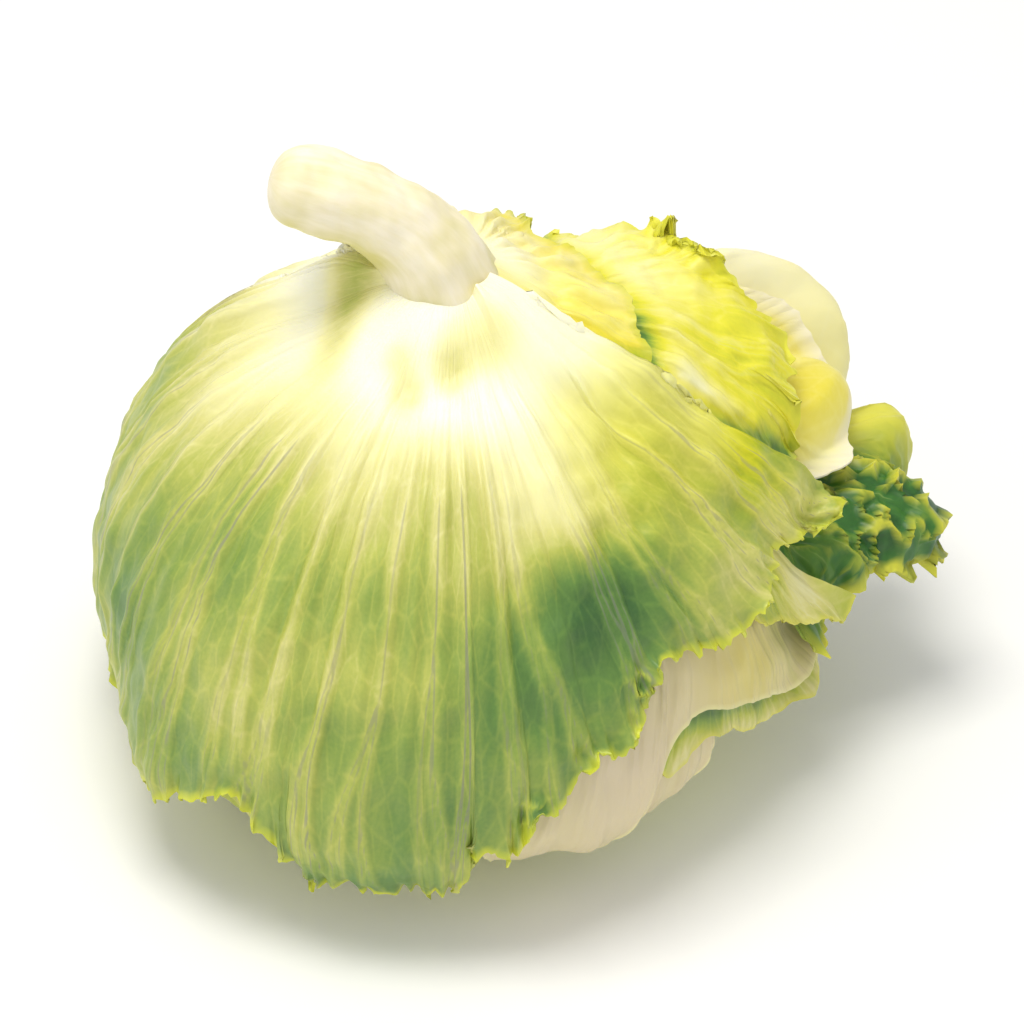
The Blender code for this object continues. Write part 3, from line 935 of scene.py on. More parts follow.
    def shape(self, head: HeadProfile, chart: DirectionChart,
              covered: Grid) -> tuple[Grid, Grid, dict[str, Grid]]:
        """Works out the blade, laid over what the chart holds.

        The radius is the larger of the head's, with the leaf's hills, and the draped pile below:
        half their sum and the hypotenuse of their difference and a blend, so that no crease forms.
        Ribs are cosines across the blade, with a bell curve over each vein. Near the margin, waves
        of two pitches stand off along the normals, and curls push the margin out and roll it back
        towards the base. A tangle's folds are crests where a random field is near nothing.

        Args:
            head: the head's round form.
            chart: how far out the pile reaches.
            covered: how much of each direction the leaves outside this one hide.

        Returns:
            Outer points and inner points, by column and row, and the leaf's fields.
        """
        length = self.margin_length(head.radius)
        u, v = np.linspace(0.0, 1.0, self.columns + 1), self.steps_along()
        p, q, open_share = self.places(u, v, length)
        theta = np.hypot(p, q)
        shown = 1.0 - chart.read(covered, p, q)
        thin = limited(1.0 - theta / self.thinnest_theta) ** 2
        thickness = self.margin_thickness + (self.base_thickness - self.margin_thickness) * thin
        rise = (1.0 - smooth_step(*self.collar_thetas, theta)) ** 2
        wanted = head.at(theta) + self.lift + self.collar * rise
        wanted = wanted + hills(self.bumps, p, q) * shown
        wanted = wanted + hills(self.flares, p, q) * shown * smooth_step(0.45, 1.0, v)
        under = chart.spread(chart.spread(chart.height, 2, largest=True), 2, largest=False)
        resting = chart.read(chart.spread(under, 1, False), p, q) + self.gap + 1.2 * thickness
        laid = 0.5 * (wanted + resting + np.hypot(wanted - resting, 2.0 * self.blend))
        points = chart.direction(p, q) * laid[..., None]

        # Every second point of the margin, its last one too, gives the line well enough.
        away = distance_to_line(points, points[::2, -1])
        to_margin = np.linalg.norm(points[:, -1] - points[:, 0], axis=-1)[:, None] * (1.0 - v[None, :])
        along = (math.tau * u * length)[:, None]
        ruffled = (np.sin(along / self.ruffle_pitch + self.seed)
                   + 0.5 * np.sin(along / self.ruffle_pitch / 1.9 + 2.3 * self.seed) + 1.5) / 3.0
        soft = limited(1.0 - to_margin / self.ruffle_reach) ** 2
        fold = sines(along, self.seed, FOLDS)
        frilled = (1.0 + np.sin(along / self.frill.pitch + 2.0 * fold)) / 2.0
        deep = open_share[:, None]
        near = limited(1.0 - np.minimum(away, to_margin) / self.frill.reach) ** 1.6 * deep
        body = smooth_step(0.08, 0.3, v)[None, :] * smooth_step(0.0, 9.0, away)
        vein = self.veins(u, v, length, points)
        ribs = 0.7 - 0.7 * np.cos(along / self.rib_pitch + fold)
        ribs = ribs + np.exp(-((vein / self.vein_ridge) ** 2))
        coarse, fine = (Ripples(size, self.seed + k).at(points)
                        for k, size in enumerate(self.crinkle_sizes))
        crinkle = coarse + 0.5 * fine + 2.2
        proud = self.ruffle * soft * ruffled * deep + self.frill.height * 2.0 * near * frilled
        proud = proud + (self.rib * ribs + self.crinkle * crinkle) * body
        field_here = (Ripples(self.tangle_size, self.seed + 4).at(points)
                      + 0.3 * Ripples(6.0, self.seed + 5).at(points))
        crest = limited(1.0 - 1.3 * np.abs(field_here)) ** 1.5
        tangled = limited(hills(self.tangles, p, q))
        proud = proud + self.tangle_height * tangled * crest
        normal = normals_of(points)
        kept = self.relief_below + (1.0 - self.relief_below) * shown
        points = points + normal * (proud * kept)[..., None]
        inwards = -unit_vectors(np.gradient(points, axis=1))
        for curl in self.curls:
            here = curl.hill.at(p, q) * shown
            rolled = limited(1.0 - to_margin / curl.reach)
            points = points + normal * (here * np.sin(rolled * math.pi * 0.5))[..., None]
            share = here / curl.hill.height * curl.roll * rolled ** 3
            points = points + inwards * share[..., None]
        points[..., 2] = np.maximum(points[..., 2], self.floor_clearance + thickness - head.widest_height)
        inner = points - normals_of(points) * thickness[..., None]

        rim = limited(1.0 - away / self.frill.rim) ** 0.7 * smooth_step(0.25, 0.6, v)[None, :]
        rim = np.maximum(rim * deep, tangled * smooth_step(0.45, 0.85, crest))
        low, high, begin, end = self.tone
        green = low + (high - low) * smooth_step(begin, end, theta)
        green = green + hills(self.tints, p, q)
        green = green + self.patch_tone * Ripples(self.patch_size, self.seed + 2).at(points)
        # Painted shade: darker green in the folds of a tangle, between its crests, and where the leaves
        # outside this one cover the blade.
        green = green + self.fold_shade * tangled * (1.0 - crest) + self.overlap_shade * (1.0 - shown)
        blade = np.stack([np.broadcast_to(u[:, None] * length, p.shape),
                          np.linalg.norm(points - points[:, :1], axis=-1), away], -1)
        # Veins look thinner towards the margin, and fade where they crowd near the base.
        vein = vein * (0.8 + 0.5 * v) + 2.0 * (1.0 - smooth_step(0.12, 0.3, v))
        return points, inner, {"green": limited(green), "rim": rim, "blade": blade,
                               "warm": limited(hills(self.warmth, p, q)), "vein": vein}

    def clear(self, outer: Grid, inner: Grid, chart: DirectionChart) -> tuple[Grid, Grid]:
        """Moves the blade outwards where it would meet the pile below.

        A point that is too close moves out by what is missing, and its neighbours by less and less:
        the missing lengths are widened to their largest, then averaged, over the same square.

        Args:
            outer: outer points.
            inner: inner points.
            chart: how far out the pile reaches.

        Returns:
            Outer and inner points.
        """
        pile = chart.spread(chart.height, 1, largest=True)
        p, q, radius = chart.of(inner)
        reach = 4
        edge = 2 * reach
        short = np.pad(np.maximum(chart.read(pile, p, q) + self.clearance - radius, 0.0), edge)
        short = chart.spread(chart.spread(short, reach, largest=True), reach, largest=False)
        short = short[edge:-edge, edge:-edge]
        move = unit_vectors(inner) * short[..., None]
        return outer + move, inner + move

    def build(self, head: HeadProfile, chart: DirectionChart, covered: Grid,
              maker: MeshMaker) -> bpy.types.Object:
        """Builds and dresses the leaf, and raises the chart to its height.

        Args:
            head: the head's round form.
            chart: how far out the pile reaches, which is changed.
            covered: how much of each direction the leaves outside this one hide.
            maker: what makes its mesh.

        Returns:
            The leaf's object.
        """
        outer, inner, fields = self.shape(head, chart, covered)
        outer, inner = self.clear(outer, inner, chart)
        both = np.stack([outer, inner])
        chart.raise_to(chart.height, *chart.of(both))
        doubled = {key: np.stack([grid, grid]) for key, grid in fields.items()}
        doubled["side"] = np.stack([np.zeros(outer.shape[:2]), np.ones(outer.shape[:2])])
        faces = maker.shell_faces(*outer.shape[:2])
        piece = maker.make(f"{self.node}_blade", both, faces, doubled, self.tissue.material())
        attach(piece, BODY)
        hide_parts(self.node)
        return piece


@dataclass(frozen=True)
class CrownLeaf:
    """A leaf of the heart that shows on the crown: its middle, half its width and its reach."""

    phi: float
    half_width: float
    reach: float


@dataclass
class Heart:
    """The dense heart, flat where it rests, with its crown leaves standing out as soft steps.

    Each pair of thetas is where one change begins and ends: of the inset at the top, of the inset
    at the bottom, and of the steps. Pole is how far the first and last rings are from the axis, in
    degrees, so that no face there is without an area.
    """

    inset: float = 11.5
    top_inset: float = 19.0
    seat_theta: float = 10.0
    top_thetas: tuple[float, float] = (10.0, 75.0)
    low_thetas: tuple[float, float] = (98.0, 138.0)
    step_thetas: tuple[float, float] = (60.0, 80.0)
    pole: float = 0.02
    step: float = 1.7
    vein_step: float = 14.0
    columns: int = 180
    rows: int = 90
    leaves: tuple[CrownLeaf, ...] = (
        CrownLeaf(20, 74, 142), CrownLeaf(100, 68, 150), CrownLeaf(172, 72, 138),
        CrownLeaf(246, 66, 152), CrownLeaf(318, 70, 146))

    def top(self, head: HeadProfile) -> float:
        """Gives the height of the stem's flat seat above the widest ring."""
        return (head.above - self.top_inset) * math.cos(math.radians(self.seat_theta))

    def radius(self, head: HeadProfile, phi: Grid, theta: Grid) -> Grid:
        """Works out the heart's radius: the head's less an inset, with a step inside each crown leaf.

        A crown leaf's half width is a rounded arch of theta, and its step grows towards its edge.
        The flat spot that it rests on and the stem's seat are planes, height / |cos theta|.

        Args:
            head: the head's round form.
            phi: azimuths in degrees.
            theta: angles down from the stem, in degrees.

        Returns:
            Radii in millimetres.
        """
        top = 1.0 - smooth_step(*self.top_thetas, theta)
        low = smooth_step(*self.low_thetas, theta)
        radius = head.at(theta) - self.inset * (1.0 - low) - (self.top_inset - self.inset) * top
        fade = smooth_step(*self.step_thetas, theta)
        for leaf in self.leaves:
            apart = np.abs((phi - leaf.phi + 180.0) % 360.0 - 180.0)
            edge = leaf.half_width * np.sqrt(limited(1.0 - (theta / leaf.reach) ** 4))
            inside = smooth_step(-1.2, 1.2, edge - apart)
            radius = radius + fade * inside * self.step * (0.4 + 0.6 * apart / leaf.half_width)
        up = np.cos(np.radians(theta))
        least = 0.05
        floor = np.where(-up > least, head.widest_height / np.maximum(-up, least), np.inf)
        seat = np.where(theta < 60.0, self.top(head) / np.maximum(up, least), np.inf)
        return np.minimum(np.minimum(radius, floor), seat)

    def build(self, head: HeadProfile, chart: DirectionChart, maker: MeshMaker) -> bpy.types.Object:
        """Builds and dresses the heart, and raises the chart to its height.

        Args:
            head: the head's round form.
            chart: how far out the pile reaches, which is changed.
            maker: what makes its mesh.

        Returns:
            The heart's object.
        """
        turns = np.linspace(0.0, 360.0, self.columns, endpoint=False)
        falls = np.linspace(0.0, 180.0, self.rows + 1)
        falls[0], falls[-1] = self.pole, 180.0 - self.pole
        phi, theta = np.meshgrid(turns, falls, indexing="ij")
        points = chart.direction(*chart.place(phi, theta)) * self.radius(head, phi, theta)[..., None]
        chart.raise_to(chart.height, *chart.of(points))
        faces = maker.tube_faces(np.arange(theta.size).reshape(theta.shape))
        green = 0.25 + 0.35 * smooth_step(60.0, 110.0, theta) - 0.45 * smooth_step(130.0, 165.0, theta)
        none = np.zeros(theta.shape)
        fields = {"green": green, "rim": none, "side": none,
                  "vein": 0.1 * np.abs(phi % self.vein_step - self.vein_step / 2) * theta / 10.0,
                  "blade": np.stack([phi * 1.1, theta * 1.3, theta], -1)}
        piece = maker.make("heart_leaves", points, faces, fields, HEART_TISSUE.material())
        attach(piece, BODY)
        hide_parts("heart")
        return piece


@dataclass
class Stem:
    """The cut stem: a stout stub that leans to the left, ridged where it leaves the head.

    The path holds the last three corners of its centre line, x and z. The cut end's rounding is
    cap_share of the tip's radius high, and stops at cap_angle, just short of its pole.
    """

    root_radius: float = 12.5
    radius: float = 10.6
    tip_radius: float = 9.4
    cap_share: float = 0.8
    cap_angle: float = 89.6
    seat_gap: float = 0.3
    path: tuple[tuple[float, float], ...] = ((3.0, 135.0), (-3.0, 147.0), (-30.5, 155.5))
    flare: float = 9.0
    flare_middle: float = 0.23
    flare_spread: float = 0.06
    ridge: float = 0.8
    ridges: int = 7
    rings: int = 120
    cap_rings: int = 26
    sides: int = 96

    def build(self, head: HeadProfile, seat: float, maker: MeshMaker) -> bpy.types.Object:
        """Builds and dresses the stem.

        Its centre line lies in the plane from left to right: its four corners weighed by (1-t)^3,
        3t(1-t)^2, 3t^2(1-t) and t^3, with t the share of the way up. Its sections are circles, wider
        at the root, with cosine ridges that fade upwards, and its cut end is half an oval. The skirt
        where it leaves the leaves is flare * exp(-|t - middle| / spread).

        Args:
            head: the head's round form.
            seat: height of the heart's flat top above the widest ring.
            maker: what makes its mesh.

        Returns:
            The stem's object.
        """
        low = seat + head.widest_height + self.seat_gap
        corners = np.array([(0.0, 0.0, low)] + [(x, 0.0, z) for x, z in self.path])
        share = np.linspace(0.0, 1.0, self.rings)
        weights = np.stack([(1 - share) ** 3, 3 * share * (1 - share) ** 2,
                            3 * share ** 2 * (1 - share), share ** 3], -1)
        centre = weights @ corners
        forward = unit_vectors(np.gradient(centre, axis=0))
        forward[0] = (0.0, 0.0, 1.0)
        angle = np.linspace(0.0, math.pi / 2, self.cap_rings + 1)[1:]
        angle[-1] = math.radians(self.cap_angle)
        cap = centre[-1] + forward[-1] * (self.tip_radius * self.cap_share * np.sin(angle))[:, None]
        centre = np.vstack([centre, cap])
        forward = np.vstack([forward, np.repeat(forward[-1:], self.cap_rings, axis=0)])
        side = np.array([0.0, 1.0, 0.0])
        up = np.cross(forward, side)
        radii = self.radius + (self.tip_radius - self.radius) * share
        radii += (self.root_radius - self.radius) * (1.0 - smooth_step(0.3, 0.75, share))
        radii = np.concatenate([radii, self.tip_radius * np.cos(angle) ** 0.9])
        share = np.concatenate([share, np.ones(self.cap_rings)])
        turn = np.linspace(0.0, math.tau, self.sides, endpoint=False)
        root = (1.0 - smooth_step(0.2, 0.52, share))[:, None]
        ridged = 0.5 + 0.5 * np.cos(self.ridges * turn + 1.1 * np.sin(2 * turn))[None, :]
        skirt = np.exp(-np.abs(share - self.flare_middle) / self.flare_spread)[:, None]
        wide = radii[:, None] + self.flare * skirt * (0.85 + 0.15 * ridged)
        upper = (1.0 - smooth_step(0.8, 1.0, share))[:, None]
        wide = wide + self.ridge * (ridged - 0.5) * (0.25 + 0.75 * root) * upper
        ring = np.cos(turn)[None, :, None] * up[:, None, :] + np.sin(turn)[None, :, None] * side
        points = centre[:, None, :] + ring * wide[..., None]
        swell = 0.35 * Ripples(14.0, 7).at(points) + 0.12 * Ripples(5.0, 8).at(points)
        points = points + ring * (swell * np.minimum(wide / self.tip_radius, 1.0))[..., None]
        points = points - (0.0, 0.0, head.widest_height)
        faces = maker.tube_faces(np.arange(wide.size).reshape(wide.shape).T)
        along = np.concatenate([[0.0], np.cumsum(np.linalg.norm(np.diff(centre, axis=0), axis=1))])
        blade = np.stack(np.broadcast_arrays(turn[None, :] * self.radius, along[:, None], 0.0), -1)
        # Painted shade: deeper yellow towards the root, in the grooves between the ridges, and on the
        # underside short of the cut end.
        under = limited(-ring[..., 2]) ** 1.5 * (1.0 - smooth_step(0.9, 1.0, share))[:, None]
        painted_shade = root * (0.22 + 0.5 * (1.0 - ridged)) + 0.6 * under
        fields = {"green": painted_shade, "blade": blade}
        piece = maker.make("stem_stub", points, faces, fields, StemTissue().material())
        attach(piece, BODY)
        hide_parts("stem")
        return piece


LEAVES = (
    Leaf(
        node="inner_leaf_back", slot=Slot.INNER, tissue=INNER_TISSUE, base=(142, 230, 45),
        margin=((134, 49), (128, 60), (126, 80), (132, 104), (152, 115), (185, 118), (215, 115),
                (236, 104), (242, 80), (239, 60), (234, 49)),
        lift=-9.0, seed=3, columns=260, rows=34, tone=(0.35, 0.7, 60, 110)),
    Leaf(
        node="inner_leaf_left", slot=Slot.INNER, tissue=INNER_TISSUE, base=(-120, -30, 45),
        margin=((-128, 49), (-136, 60), (-138, 80), (-124, 104), (-95, 112), (-62, 114), (-34, 112),
                (-14, 104), (-8, 80), (-13, 60), (-22, 49)),
        lift=-9.0, seed=5, columns=260, rows=34, tone=(0.3, 0.65, 60, 110)),
    Leaf(
        node="lower_bulb_leaf", slot=Slot.BLANCHED, tissue=BLANCHED_SHADED_TISSUE, base=(32, 60, 46),
        margin=((27, 51), (23, 70), (22, 90), (28, 103), (37, 106), (46, 103), (52, 96), (55, 86),
                (60, 68), (63, 51)),
        lift=-6.5, seed=6, columns=200, rows=44, ruffle=0.8, lobe=0.3,
        frill=Frill(0.3, 12.0, 8.0, 0.2, 6.0, 1.0), rib=0.3, crinkle=0.25, tone=(0.3, 0.25, 60, 100)),
    Leaf(
        node="lower_right_fold", slot=Slot.INNER, tissue=INNER_TISSUE, base=(50, 84, 42),
        margin=((45, 46), (39, 62), (38, 78), (39, 88), (44, 87), (49, 86), (57, 90), (65, 94.5),
                (72, 96.5), (79, 96), (85, 93), (88, 87), (89, 74), (88, 58), (87, 46)),
        lift=-5.0, seed=7, columns=260, rows=48, flares=(Hill(80, 95, 13, 13.0),), ruffle=1.2,
        lobe=0.5, frill=Frill(0.3, 14.0, 8.0, 0.2, 7.0, 1.2), rib=0.3, crinkle=0.2,
        tone=(0.4, 0.36, 60, 95), overlap_shade=0.8),
    Leaf(
        node="lower_right_leaf", slot=Slot.BLANCHED, tissue=BLANCHED_SHADED_TISSUE, base=(28, 74, 40),
        margin=((21, 44), (11, 60), (7, 82), (7, 98), (14, 107), (24, 108), (32, 101), (35.5, 94),
                (37, 87), (41, 80), (48, 79), (57, 83.5), (67, 89), (74, 91), (79, 90), (83, 86),
                (84, 72), (83, 58), (79, 44)),
        lift=-4.0, seed=11, columns=260, rows=44, bumps=(Hill(80, 86, 10, 4.0),), ruffle=0.8,
        flares=(Hill(62, 86, 14, 2.5), Hill(38, 86, 6, 2.0)),
        lobe=0.3, frill=Frill(0.25, 14.0, 6.0, 0.15, 7.0, 1.3), rib=0.3, crinkle=0.2,
        tone=(0.35, 0.3, 55, 95),
        tints=(Hill(74, 80, 10, 0.4), Hill(30, 80, 10, -0.2), Hill(60, 77, 10, -0.15)),
        warmth=(Hill(60, 76, 11, 0.65),)),
    Leaf(
        node="frilled_right_leaf", slot=Slot.DARK, tissue=DARK_TISSUE, base=(92, 156, 36),
        margin=((87, 41), (80, 60), (76.5, 78), (76.5, 87), (79, 89), (82, 87), (85, 85), (88, 84),
                (92, 84.5), (96, 86), (101, 88), (107, 88.5), (112, 88), (118, 87), (125, 88),
                (135, 91), (147, 94), (157, 89), (164, 76), (166, 58), (161, 41)),
        lift=-4.5, seed=13, columns=420, rows=70,
        bumps=(Hill(99, 83, 8, 34.0), Hill(114, 82, 8, 42.0), Hill(87, 84, 5, 14.0)),
        ruffle=1.6, ruffle_pitch=11.0, lobe=0.5, frill=Frill(1.0, 5.0, 13.0, 0.3, 4.0, 3.0),
        rib=0.5, crinkle=0.5,
        tone=(0.75, 0.72, 40, 90), tints=(Hill(116, 80, 8, -0.9),),
        curls=(Curl(Hill(99, 86, 7, 4.0), 3.0, 12.0),),
        tangles=(Hill(98, 81, 8, 1.3), Hill(100, 86, 6, 1.0)), tangle_height=3.4, tangle_size=8.0),
    Leaf(
        node="pale_upper_leaf", slot=Slot.PALE, tissue=PALE_TISSUE, base=(102, 152, 30),
        margin=((97, 34), (98, 48), (101, 62), (109, 71), (119, 74), (130, 73), (141, 70), (150, 63),
                (157, 53), (159, 43), (156, 34)),
        lift=-2.0, seed=17, columns=240, rows=50, bumps=(Hill(121, 64, 16, 36.0),), ruffle=0.0,
        lobe=0.4, frill=Frill(0.2, 16.0, 6.0, 0.2, 7.0, 1.0), rib=0.25, crinkle=0.12,
        tone=(0.08, 0.14, 40, 70), tints=(Hill(108, 64, 7, 0.4),), warmth=(Hill(108, 60, 9, 0.4),)),
    Leaf(
        node="pale_curled_leaf", slot=Slot.PALE, tissue=CURLED_TISSUE, base=(86, 118, 34),
        margin=((84, 40), (88, 55), (91, 63), (93.5, 67), (97, 69.5), (101, 69.5), (105, 69),
                (109, 67.5), (113, 64.5), (118, 56), (122, 46), (121, 38)),
        lift=-1.5, seed=19, columns=220, rows=50, bumps=(Hill(108, 66, 9, 26.0),), ruffle=0.0,
        lobe=0.3, frill=Frill(0.2, 16.0, 6.0, 0.15, 7.0, 5.0), rib=0.2, crinkle=0.15,
        tone=(0.5, 0.62, 40, 70), tints=(Hill(98, 71, 4, -0.6), Hill(112, 67, 4, -0.4)),
        warmth=(Hill(98, 60, 8, 0.5),)),
    Leaf(
        node="folded_tip_leaf", slot=Slot.INNER, tissue=INNER_TISSUE, base=(54, 68, 36),
        margin=((50, 40), (53, 54), (56, 61), (58.5, 65.5), (62, 70), (65.5, 73), (71, 77.5), (76, 81),
                (80.5, 84), (83, 84.5), (84.5, 82)),
        lift=-1.0, seed=23, columns=220, rows=50, flares=(Hill(82, 84, 8, 6.0),), ruffle=1.0,
        lobe=0.5, bend=-6.0, frill=Frill(0.4, 9.0, 7.0, 0.5, 5.0, 1.4), rib=0.3, crinkle=0.2,
        tone=(0.6, 0.62, 50, 80), tints=(Hill(77, 66, 3, -0.45), Hill(78, 74, 3, -0.45)),
        warmth=(Hill(68, 66, 8, 0.7),)),
    Leaf(
        node="wrapper_right_leaf", slot=Slot.YELLOW, tissue=YELLOW_TISSUE, base=(70, 146, 17),
        margin=((64, 21), (62, 33), (68, 45), (77, 56), (86, 63), (91, 62.5), (94.5, 59),
                (97.5, 55.5), (101, 53.5), (106, 53.5), (110.5, 51), (116, 48), (121, 46.5),
                (128, 42.5), (135, 40.5), (144, 40), (151, 37), (156, 30), (154, 21)),
        lift=0.0, seed=29, columns=420, rows=60,
        bumps=(Hill(112, 50, 11, 13.0), Hill(135, 41, 8, 9.0)), flares=(Hill(97, 57, 9, 6.0),),
        ruffle=2.4, ruffle_pitch=18.0, frill=Frill(1.2, 6.5, 9.0, 0.9, 4.2, 1.8), rib=0.5, overlap_shade=1.5,
        crinkle=0.45, tone=(0.3, 0.55, 20, 45),
        tints=(Hill(84, 38, 5, -0.35), Hill(92, 48, 7, 0.22), Hill(82, 48, 6, -0.45),
               Hill(126, 46, 4, 0.3), Hill(140, 36, 5, -0.25), Hill(116, 38, 8, -0.28)),
        curls=(Curl(Hill(128, 43, 4, 3.5), 4.0), Curl(Hill(121, 46, 3, 3.0), 3.0)),
        tangles=(Hill(134, 43, 5, 0.8), Hill(124, 46, 4, 0.7)), tangle_height=2.5),
    Leaf(
        node="wrapper_back_leaf", slot=Slot.WRAPPER, tissue=WRAPPER_TISSUE, base=(184, 248, 6.6),
        margin=((164, 16), (160, 38), (158, 66), (163, 90), (180, 102), (204, 107), (228, 105),
                (243, 99), (251, 86), (254, 62), (255, 35), (254, 16)),
        lift=0.0, collar=5.0, seed=31, columns=380, rows=60, flares=(Hill(200, 108, 24, 5.0),),
        ruffle=2.4, frill=Frill(1.4, 7.0, 11.0, 1.5, 4.6, 2.4), rib=0.6, rib_pitch=13.0, crinkle=0.4,
        # Painted shade: the tint at Hill(230, 19) darkens the fold under the leaning stem.
        tone=(0.02, 0.62, 18, 75), tints=(Hill(200, 90, 20, 0.15), Hill(230, 19, 4, 0.5))),
    Leaf(
        node="wrapper_top_leaf", slot=Slot.PALE, tissue=CREAM_TISSUE, base=(56, 188, 6.6),
        margin=((50, 14), (53, 24), (62, 31), (72, 32), (80, 30), (88, 28), (103, 25.5), (124, 23.5),
                (136, 22), (145, 22), (152, 25.5), (159, 30), (167, 32.5), (177, 33), (190, 30),
                (197, 23), (199, 14)),
        lift=0.5, collar=5.0, seed=37, columns=360, rows=40, overlap_shade=0.5,
        ruffle=1.2, ruffle_pitch=16.0, lobe=0.5,
        frill=Frill(0.7, 6.0, 7.0, 0.6, 4.5, 2.2), rib=0.7, rib_pitch=7.0, crinkle=0.3, vein_pitch=9.0,
        tone=(0.12, 0.42, 8, 18),
        # Painted shade: the narrow tints from Hill(84, 29) to Hill(132, 23) darken the margin where this
        # leaf lies over the right wrapper leaf, for the shade of the gap between them.
        tints=(Hill(160, 26, 6, 0.2), Hill(70, 30, 4, 0.4), Hill(84, 29, 2.0, 0.25),
               Hill(98, 27, 2.0, 0.25), Hill(114, 25, 2.0, 0.25), Hill(132, 23, 2.0, 0.25)),
        warmth=(Hill(72, 26, 6, 0.7), Hill(96, 18, 5, 0.4), Hill(160, 26, 6, 0.5))),
    Leaf(
        node="wrapper_front_leaf", slot=Slot.WRAPPER, tissue=WRAPPER_TISSUE, base=(-104, 64, 6.6),
        margin=((-114.5, 15), (-118, 34), (-121, 60), (-120.5, 86), (-106, 96), (-80, 98), (-61, 98),
                (-52, 97.5), (-45, 93), (-37, 89), (-30, 90), (-26, 97), (-22, 102), (-13, 103.5),
                (-3, 103), (3, 99.5), (6, 92), (11, 91.5), (15, 85), (22, 80.5), (26, 78), (31.5, 77),
                (34.5, 72), (36, 66.5), (39.5, 65), (47, 68), (57, 69.5), (62.5, 68), (66, 65),
                (72, 64.5), (79, 67), (85, 71.5), (88, 72.5), (90.5, 70.5), (91, 66.5)),
        lift=0.0, collar=5.0, seed=41, columns=600, rows=76,
        bumps=(Hill(-78, 100, 15, -9.0), Hill(-15, 18.5, 1.8, -2.2), Hill(4, 15.0, 1.8, -2.2)),
        flares=(Hill(-50, 102, 10, 3.5), Hill(-15, 105, 18, 3.0), Hill(90, 71, 7, 5.0)),
        ruffle=2.2, ruffle_pitch=19.0, lobe=0.7, bend=-9.0,
        frill=Frill(1.1, 6.5, 9.0, 1.5, 4.2, 2.0), rib=0.6, rib_pitch=14.0, crinkle=0.35,
        tone=(0.0, 0.62, 16, 56),
        tints=(Hill(-41, 40, 9, 0.10), Hill(-35, 66, 10, -0.10), Hill(31, 54, 8, 0.44),
               Hill(8, 57, 6, 0.12), Hill(18, 72, 9, 0.17), Hill(-32, 84, 8, 0.10), Hill(-53, 84, 10, 0.05),
               Hill(-66, 70, 9, 0.20), Hill(-78, 50, 8, -0.16), Hill(-17, 59, 8, -0.12),
               Hill(-6, 92, 12, 0.13), Hill(4, 78, 7, 0.06), Hill(-9, 50, 8, 0.04), Hill(26, 41, 6, -0.18),
               Hill(56, 56, 7, -0.16), Hill(78, 58, 7, -0.14), Hill(80, 46, 7, -0.17),
               # Painted shade: the tints from Hill(-15, 18.5) to Hill(26, 13) darken the creases at the
               # stem's root, and those from Hill(-95, 11) on paint the shadow under the leaning stem.
               Hill(88, 72, 5, -0.15), Hill(-15, 18.5, 2.0, 0.26), Hill(-24, 14.5, 2.0, 0.22),
               Hill(4, 14.0, 2.2, 0.26), Hill(5, 17.0, 2.0, 0.18), Hill(26, 13, 3.0, 0.2),
               Hill(-95, 11, 2.8, 0.42), Hill(-78, 13.5, 2.2, 0.3), Hill(-64, 16.5, 2.2, 0.22),
               Hill(-56, 20, 2.2, 0.12)),
        warmth=(Hill(79, 50, 9, 1.0), Hill(50, 40, 8, 0.45), Hill(60, 30, 8, 0.3)),
        curls=(Curl(Hill(31, 76, 2.5, 3.0), 3.0), Curl(Hill(36, 66.5, 2.5, 3.0), 3.0),
               Curl(Hill(24, 79, 3, 3.0), 3.0), Curl(Hill(14, 84, 3, 3.5), 3.5),
               Curl(Hill(62, 68, 2.5, 3.0), 3.0), Curl(Hill(90, 74, 4, 3.5), 4.0),
               Curl(Hill(-35, 90, 2.5, 3.0), 2.5)),
        tangles=(Hill(-22, 103, 3.5, 0.8), Hill(-12, 106, 3.5, 0.7), Hill(-2, 105, 3.5, 0.8),
                 Hill(14, 84, 2.5, 0.8), Hill(25, 79, 2.5, 0.7), Hill(34, 68, 2.5, 0.8),
                 Hill(92, 73, 4, 0.8)), tangle_height=2.2, tangle_size=9.0),
)


@dataclass
class LeafPile:
    """All leaves of the head, laid from the inside outwards."""

    head: HeadProfile
    chart: DirectionChart
    maker: MeshMaker
    leaves: tuple[Leaf, ...] = LEAVES
    marks: tuple[int, int] = (400, 160)

    def covers(self) -> list[Grid]:
        """Works out how much the leaves outside each one hide it.

        Each leaf marks the directions that it takes, and the marks of all leaves outside another
        are widened and blurred.

        Returns:
            A table of the chart's size for each leaf, from 0 to 1.
        """
        total = np.zeros_like(self.chart.height)
        found = []
        for leaf in reversed(self.leaves):
            found.append(self.chart.spread(self.chart.spread(total, 1, True), 2, False))
            u, v = (np.linspace(0.0, 1.0, count) for count in self.marks)
            p, q, _ = leaf.places(u, v, leaf.margin_length(self.head.radius))
            self.chart.raise_to(total, p, q, np.ones(p.shape))
        return found[::-1]

    def build(self) -> None:
        """Builds each leaf over what is already there."""
        for leaf, covered in zip(self.leaves, self.covers()):
            piece = leaf.build(self.head, self.chart, covered, self.maker)
            LOG.info("%s: %d faces", piece.name, len(piece.data.polygons))


@dataclass(frozen=True)
class Lamp:
    """A square soft lamp: where it hangs and its side in metres, its power in watts, its colour."""

    name: str
    place: tuple[float, float, float]
    size: float
    power: float
    colour: str


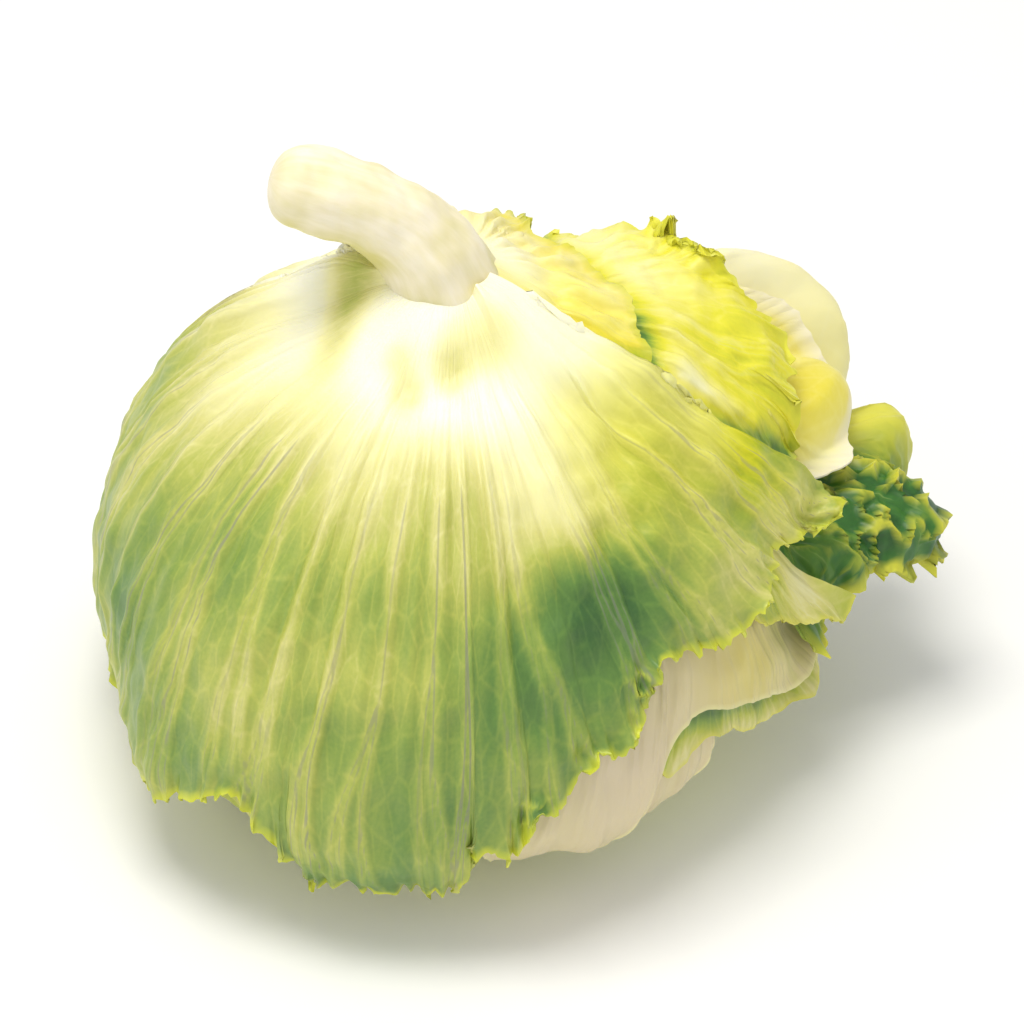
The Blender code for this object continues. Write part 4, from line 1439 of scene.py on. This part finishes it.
@dataclass
class Studio:
    """The pale floor, the soft lights and the camera, at the angle of the photograph."""

    target: tuple[float, float, float] = (0.0154, 0.0011, 0.0630)
    elevation: float = 38.5
    distance: float = 1.3
    view_width: float = 0.2355
    sensor: float = 36.0
    floor_size: float = 6.0
    far: float = 20.0
    world_strength: float = 0.62
    world_colour: str = "#FDFDFF"
    lamps: tuple[Lamp, ...] = (Lamp("key", (-0.10, -0.06, 1.0), 0.45, 5.6, "#FFFCF2"),
                               Lamp("fill", (-1.0, -0.8, 0.7), 1.0, 1.8, "#F6F9FF"))

    def aim(self, thing: bpy.types.Object, place: Vector) -> None:
        """Puts a thing somewhere and turns it to look at the target.

        Args:
            thing: a lamp or a camera.
            place: where it goes.
        """
        thing.location = place
        thing.rotation_euler = (Vector(self.target) - place).to_track_quat("-Z", "Y").to_euler()

    def camera(self) -> None:
        """Makes the camera, which looks from the front and above with a long lens."""
        lens = bpy.data.cameras.new("camera")
        lens.sensor_width = self.sensor
        lens.lens = self.sensor * self.distance / self.view_width
        lens.clip_end = self.far
        made = new_object("camera", lens)
        rise = math.radians(self.elevation)
        way = Vector((0.0, -math.cos(rise), math.sin(rise)))
        self.aim(made, Vector(self.target) + way * self.distance)
        bpy.context.scene.camera = made

    def light(self, lamp: Lamp) -> None:
        """Makes a lamp that shines at the target.

        Args:
            lamp: what it is.
        """
        light = bpy.data.lights.new(lamp.name, "AREA")
        light.size, light.energy, light.color = lamp.size, lamp.power, linear_colour(lamp.colour)[:3]
        self.aim(new_object(lamp.name, light), Vector(lamp.place))

    def build(self) -> None:
        """Builds the floor, the world, the lamps and the camera."""
        half = self.floor_size / 2
        mesh = bpy.data.meshes.new("floor")
        mesh.from_pydata([(-half, -half, 0), (half, -half, 0), (half, half, 0), (-half, half, 0)], [],
                         [(0, 1, 2, 3)])
        mesh.materials.append(StudioPaper().material())
        floor = new_object("floor", mesh)
        world = bpy.data.worlds.new("studio")
        world.use_nodes = True
        sky = world.node_tree.nodes["Background"]
        sky.inputs["Color"].default_value = linear_colour(self.world_colour)
        sky.inputs["Strength"].default_value = self.world_strength
        bpy.context.scene.world = world
        bpy.context.scene.view_settings.view_transform = "Standard"
        for lamp in self.lamps:
            self.light(lamp)
        self.camera()


def main() -> None:
    """Builds the heart, the stem, the leaves and the studio, in that order."""
    logging.basicConfig(level=logging.INFO, format="%(name)s: %(message)s")
    head = HeadProfile()
    chart = DirectionChart()
    maker = MeshMaker(head.widest_height)
    heart = Heart()
    LOG.info("%s: built", heart.build(head, chart, maker).name)
    LOG.info("%s: built", Stem().build(head, heart.top(head), maker).name)
    LeafPile(head, chart, maker).build()
    Studio().build()
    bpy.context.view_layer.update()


if __name__ == "__main__":
    main()
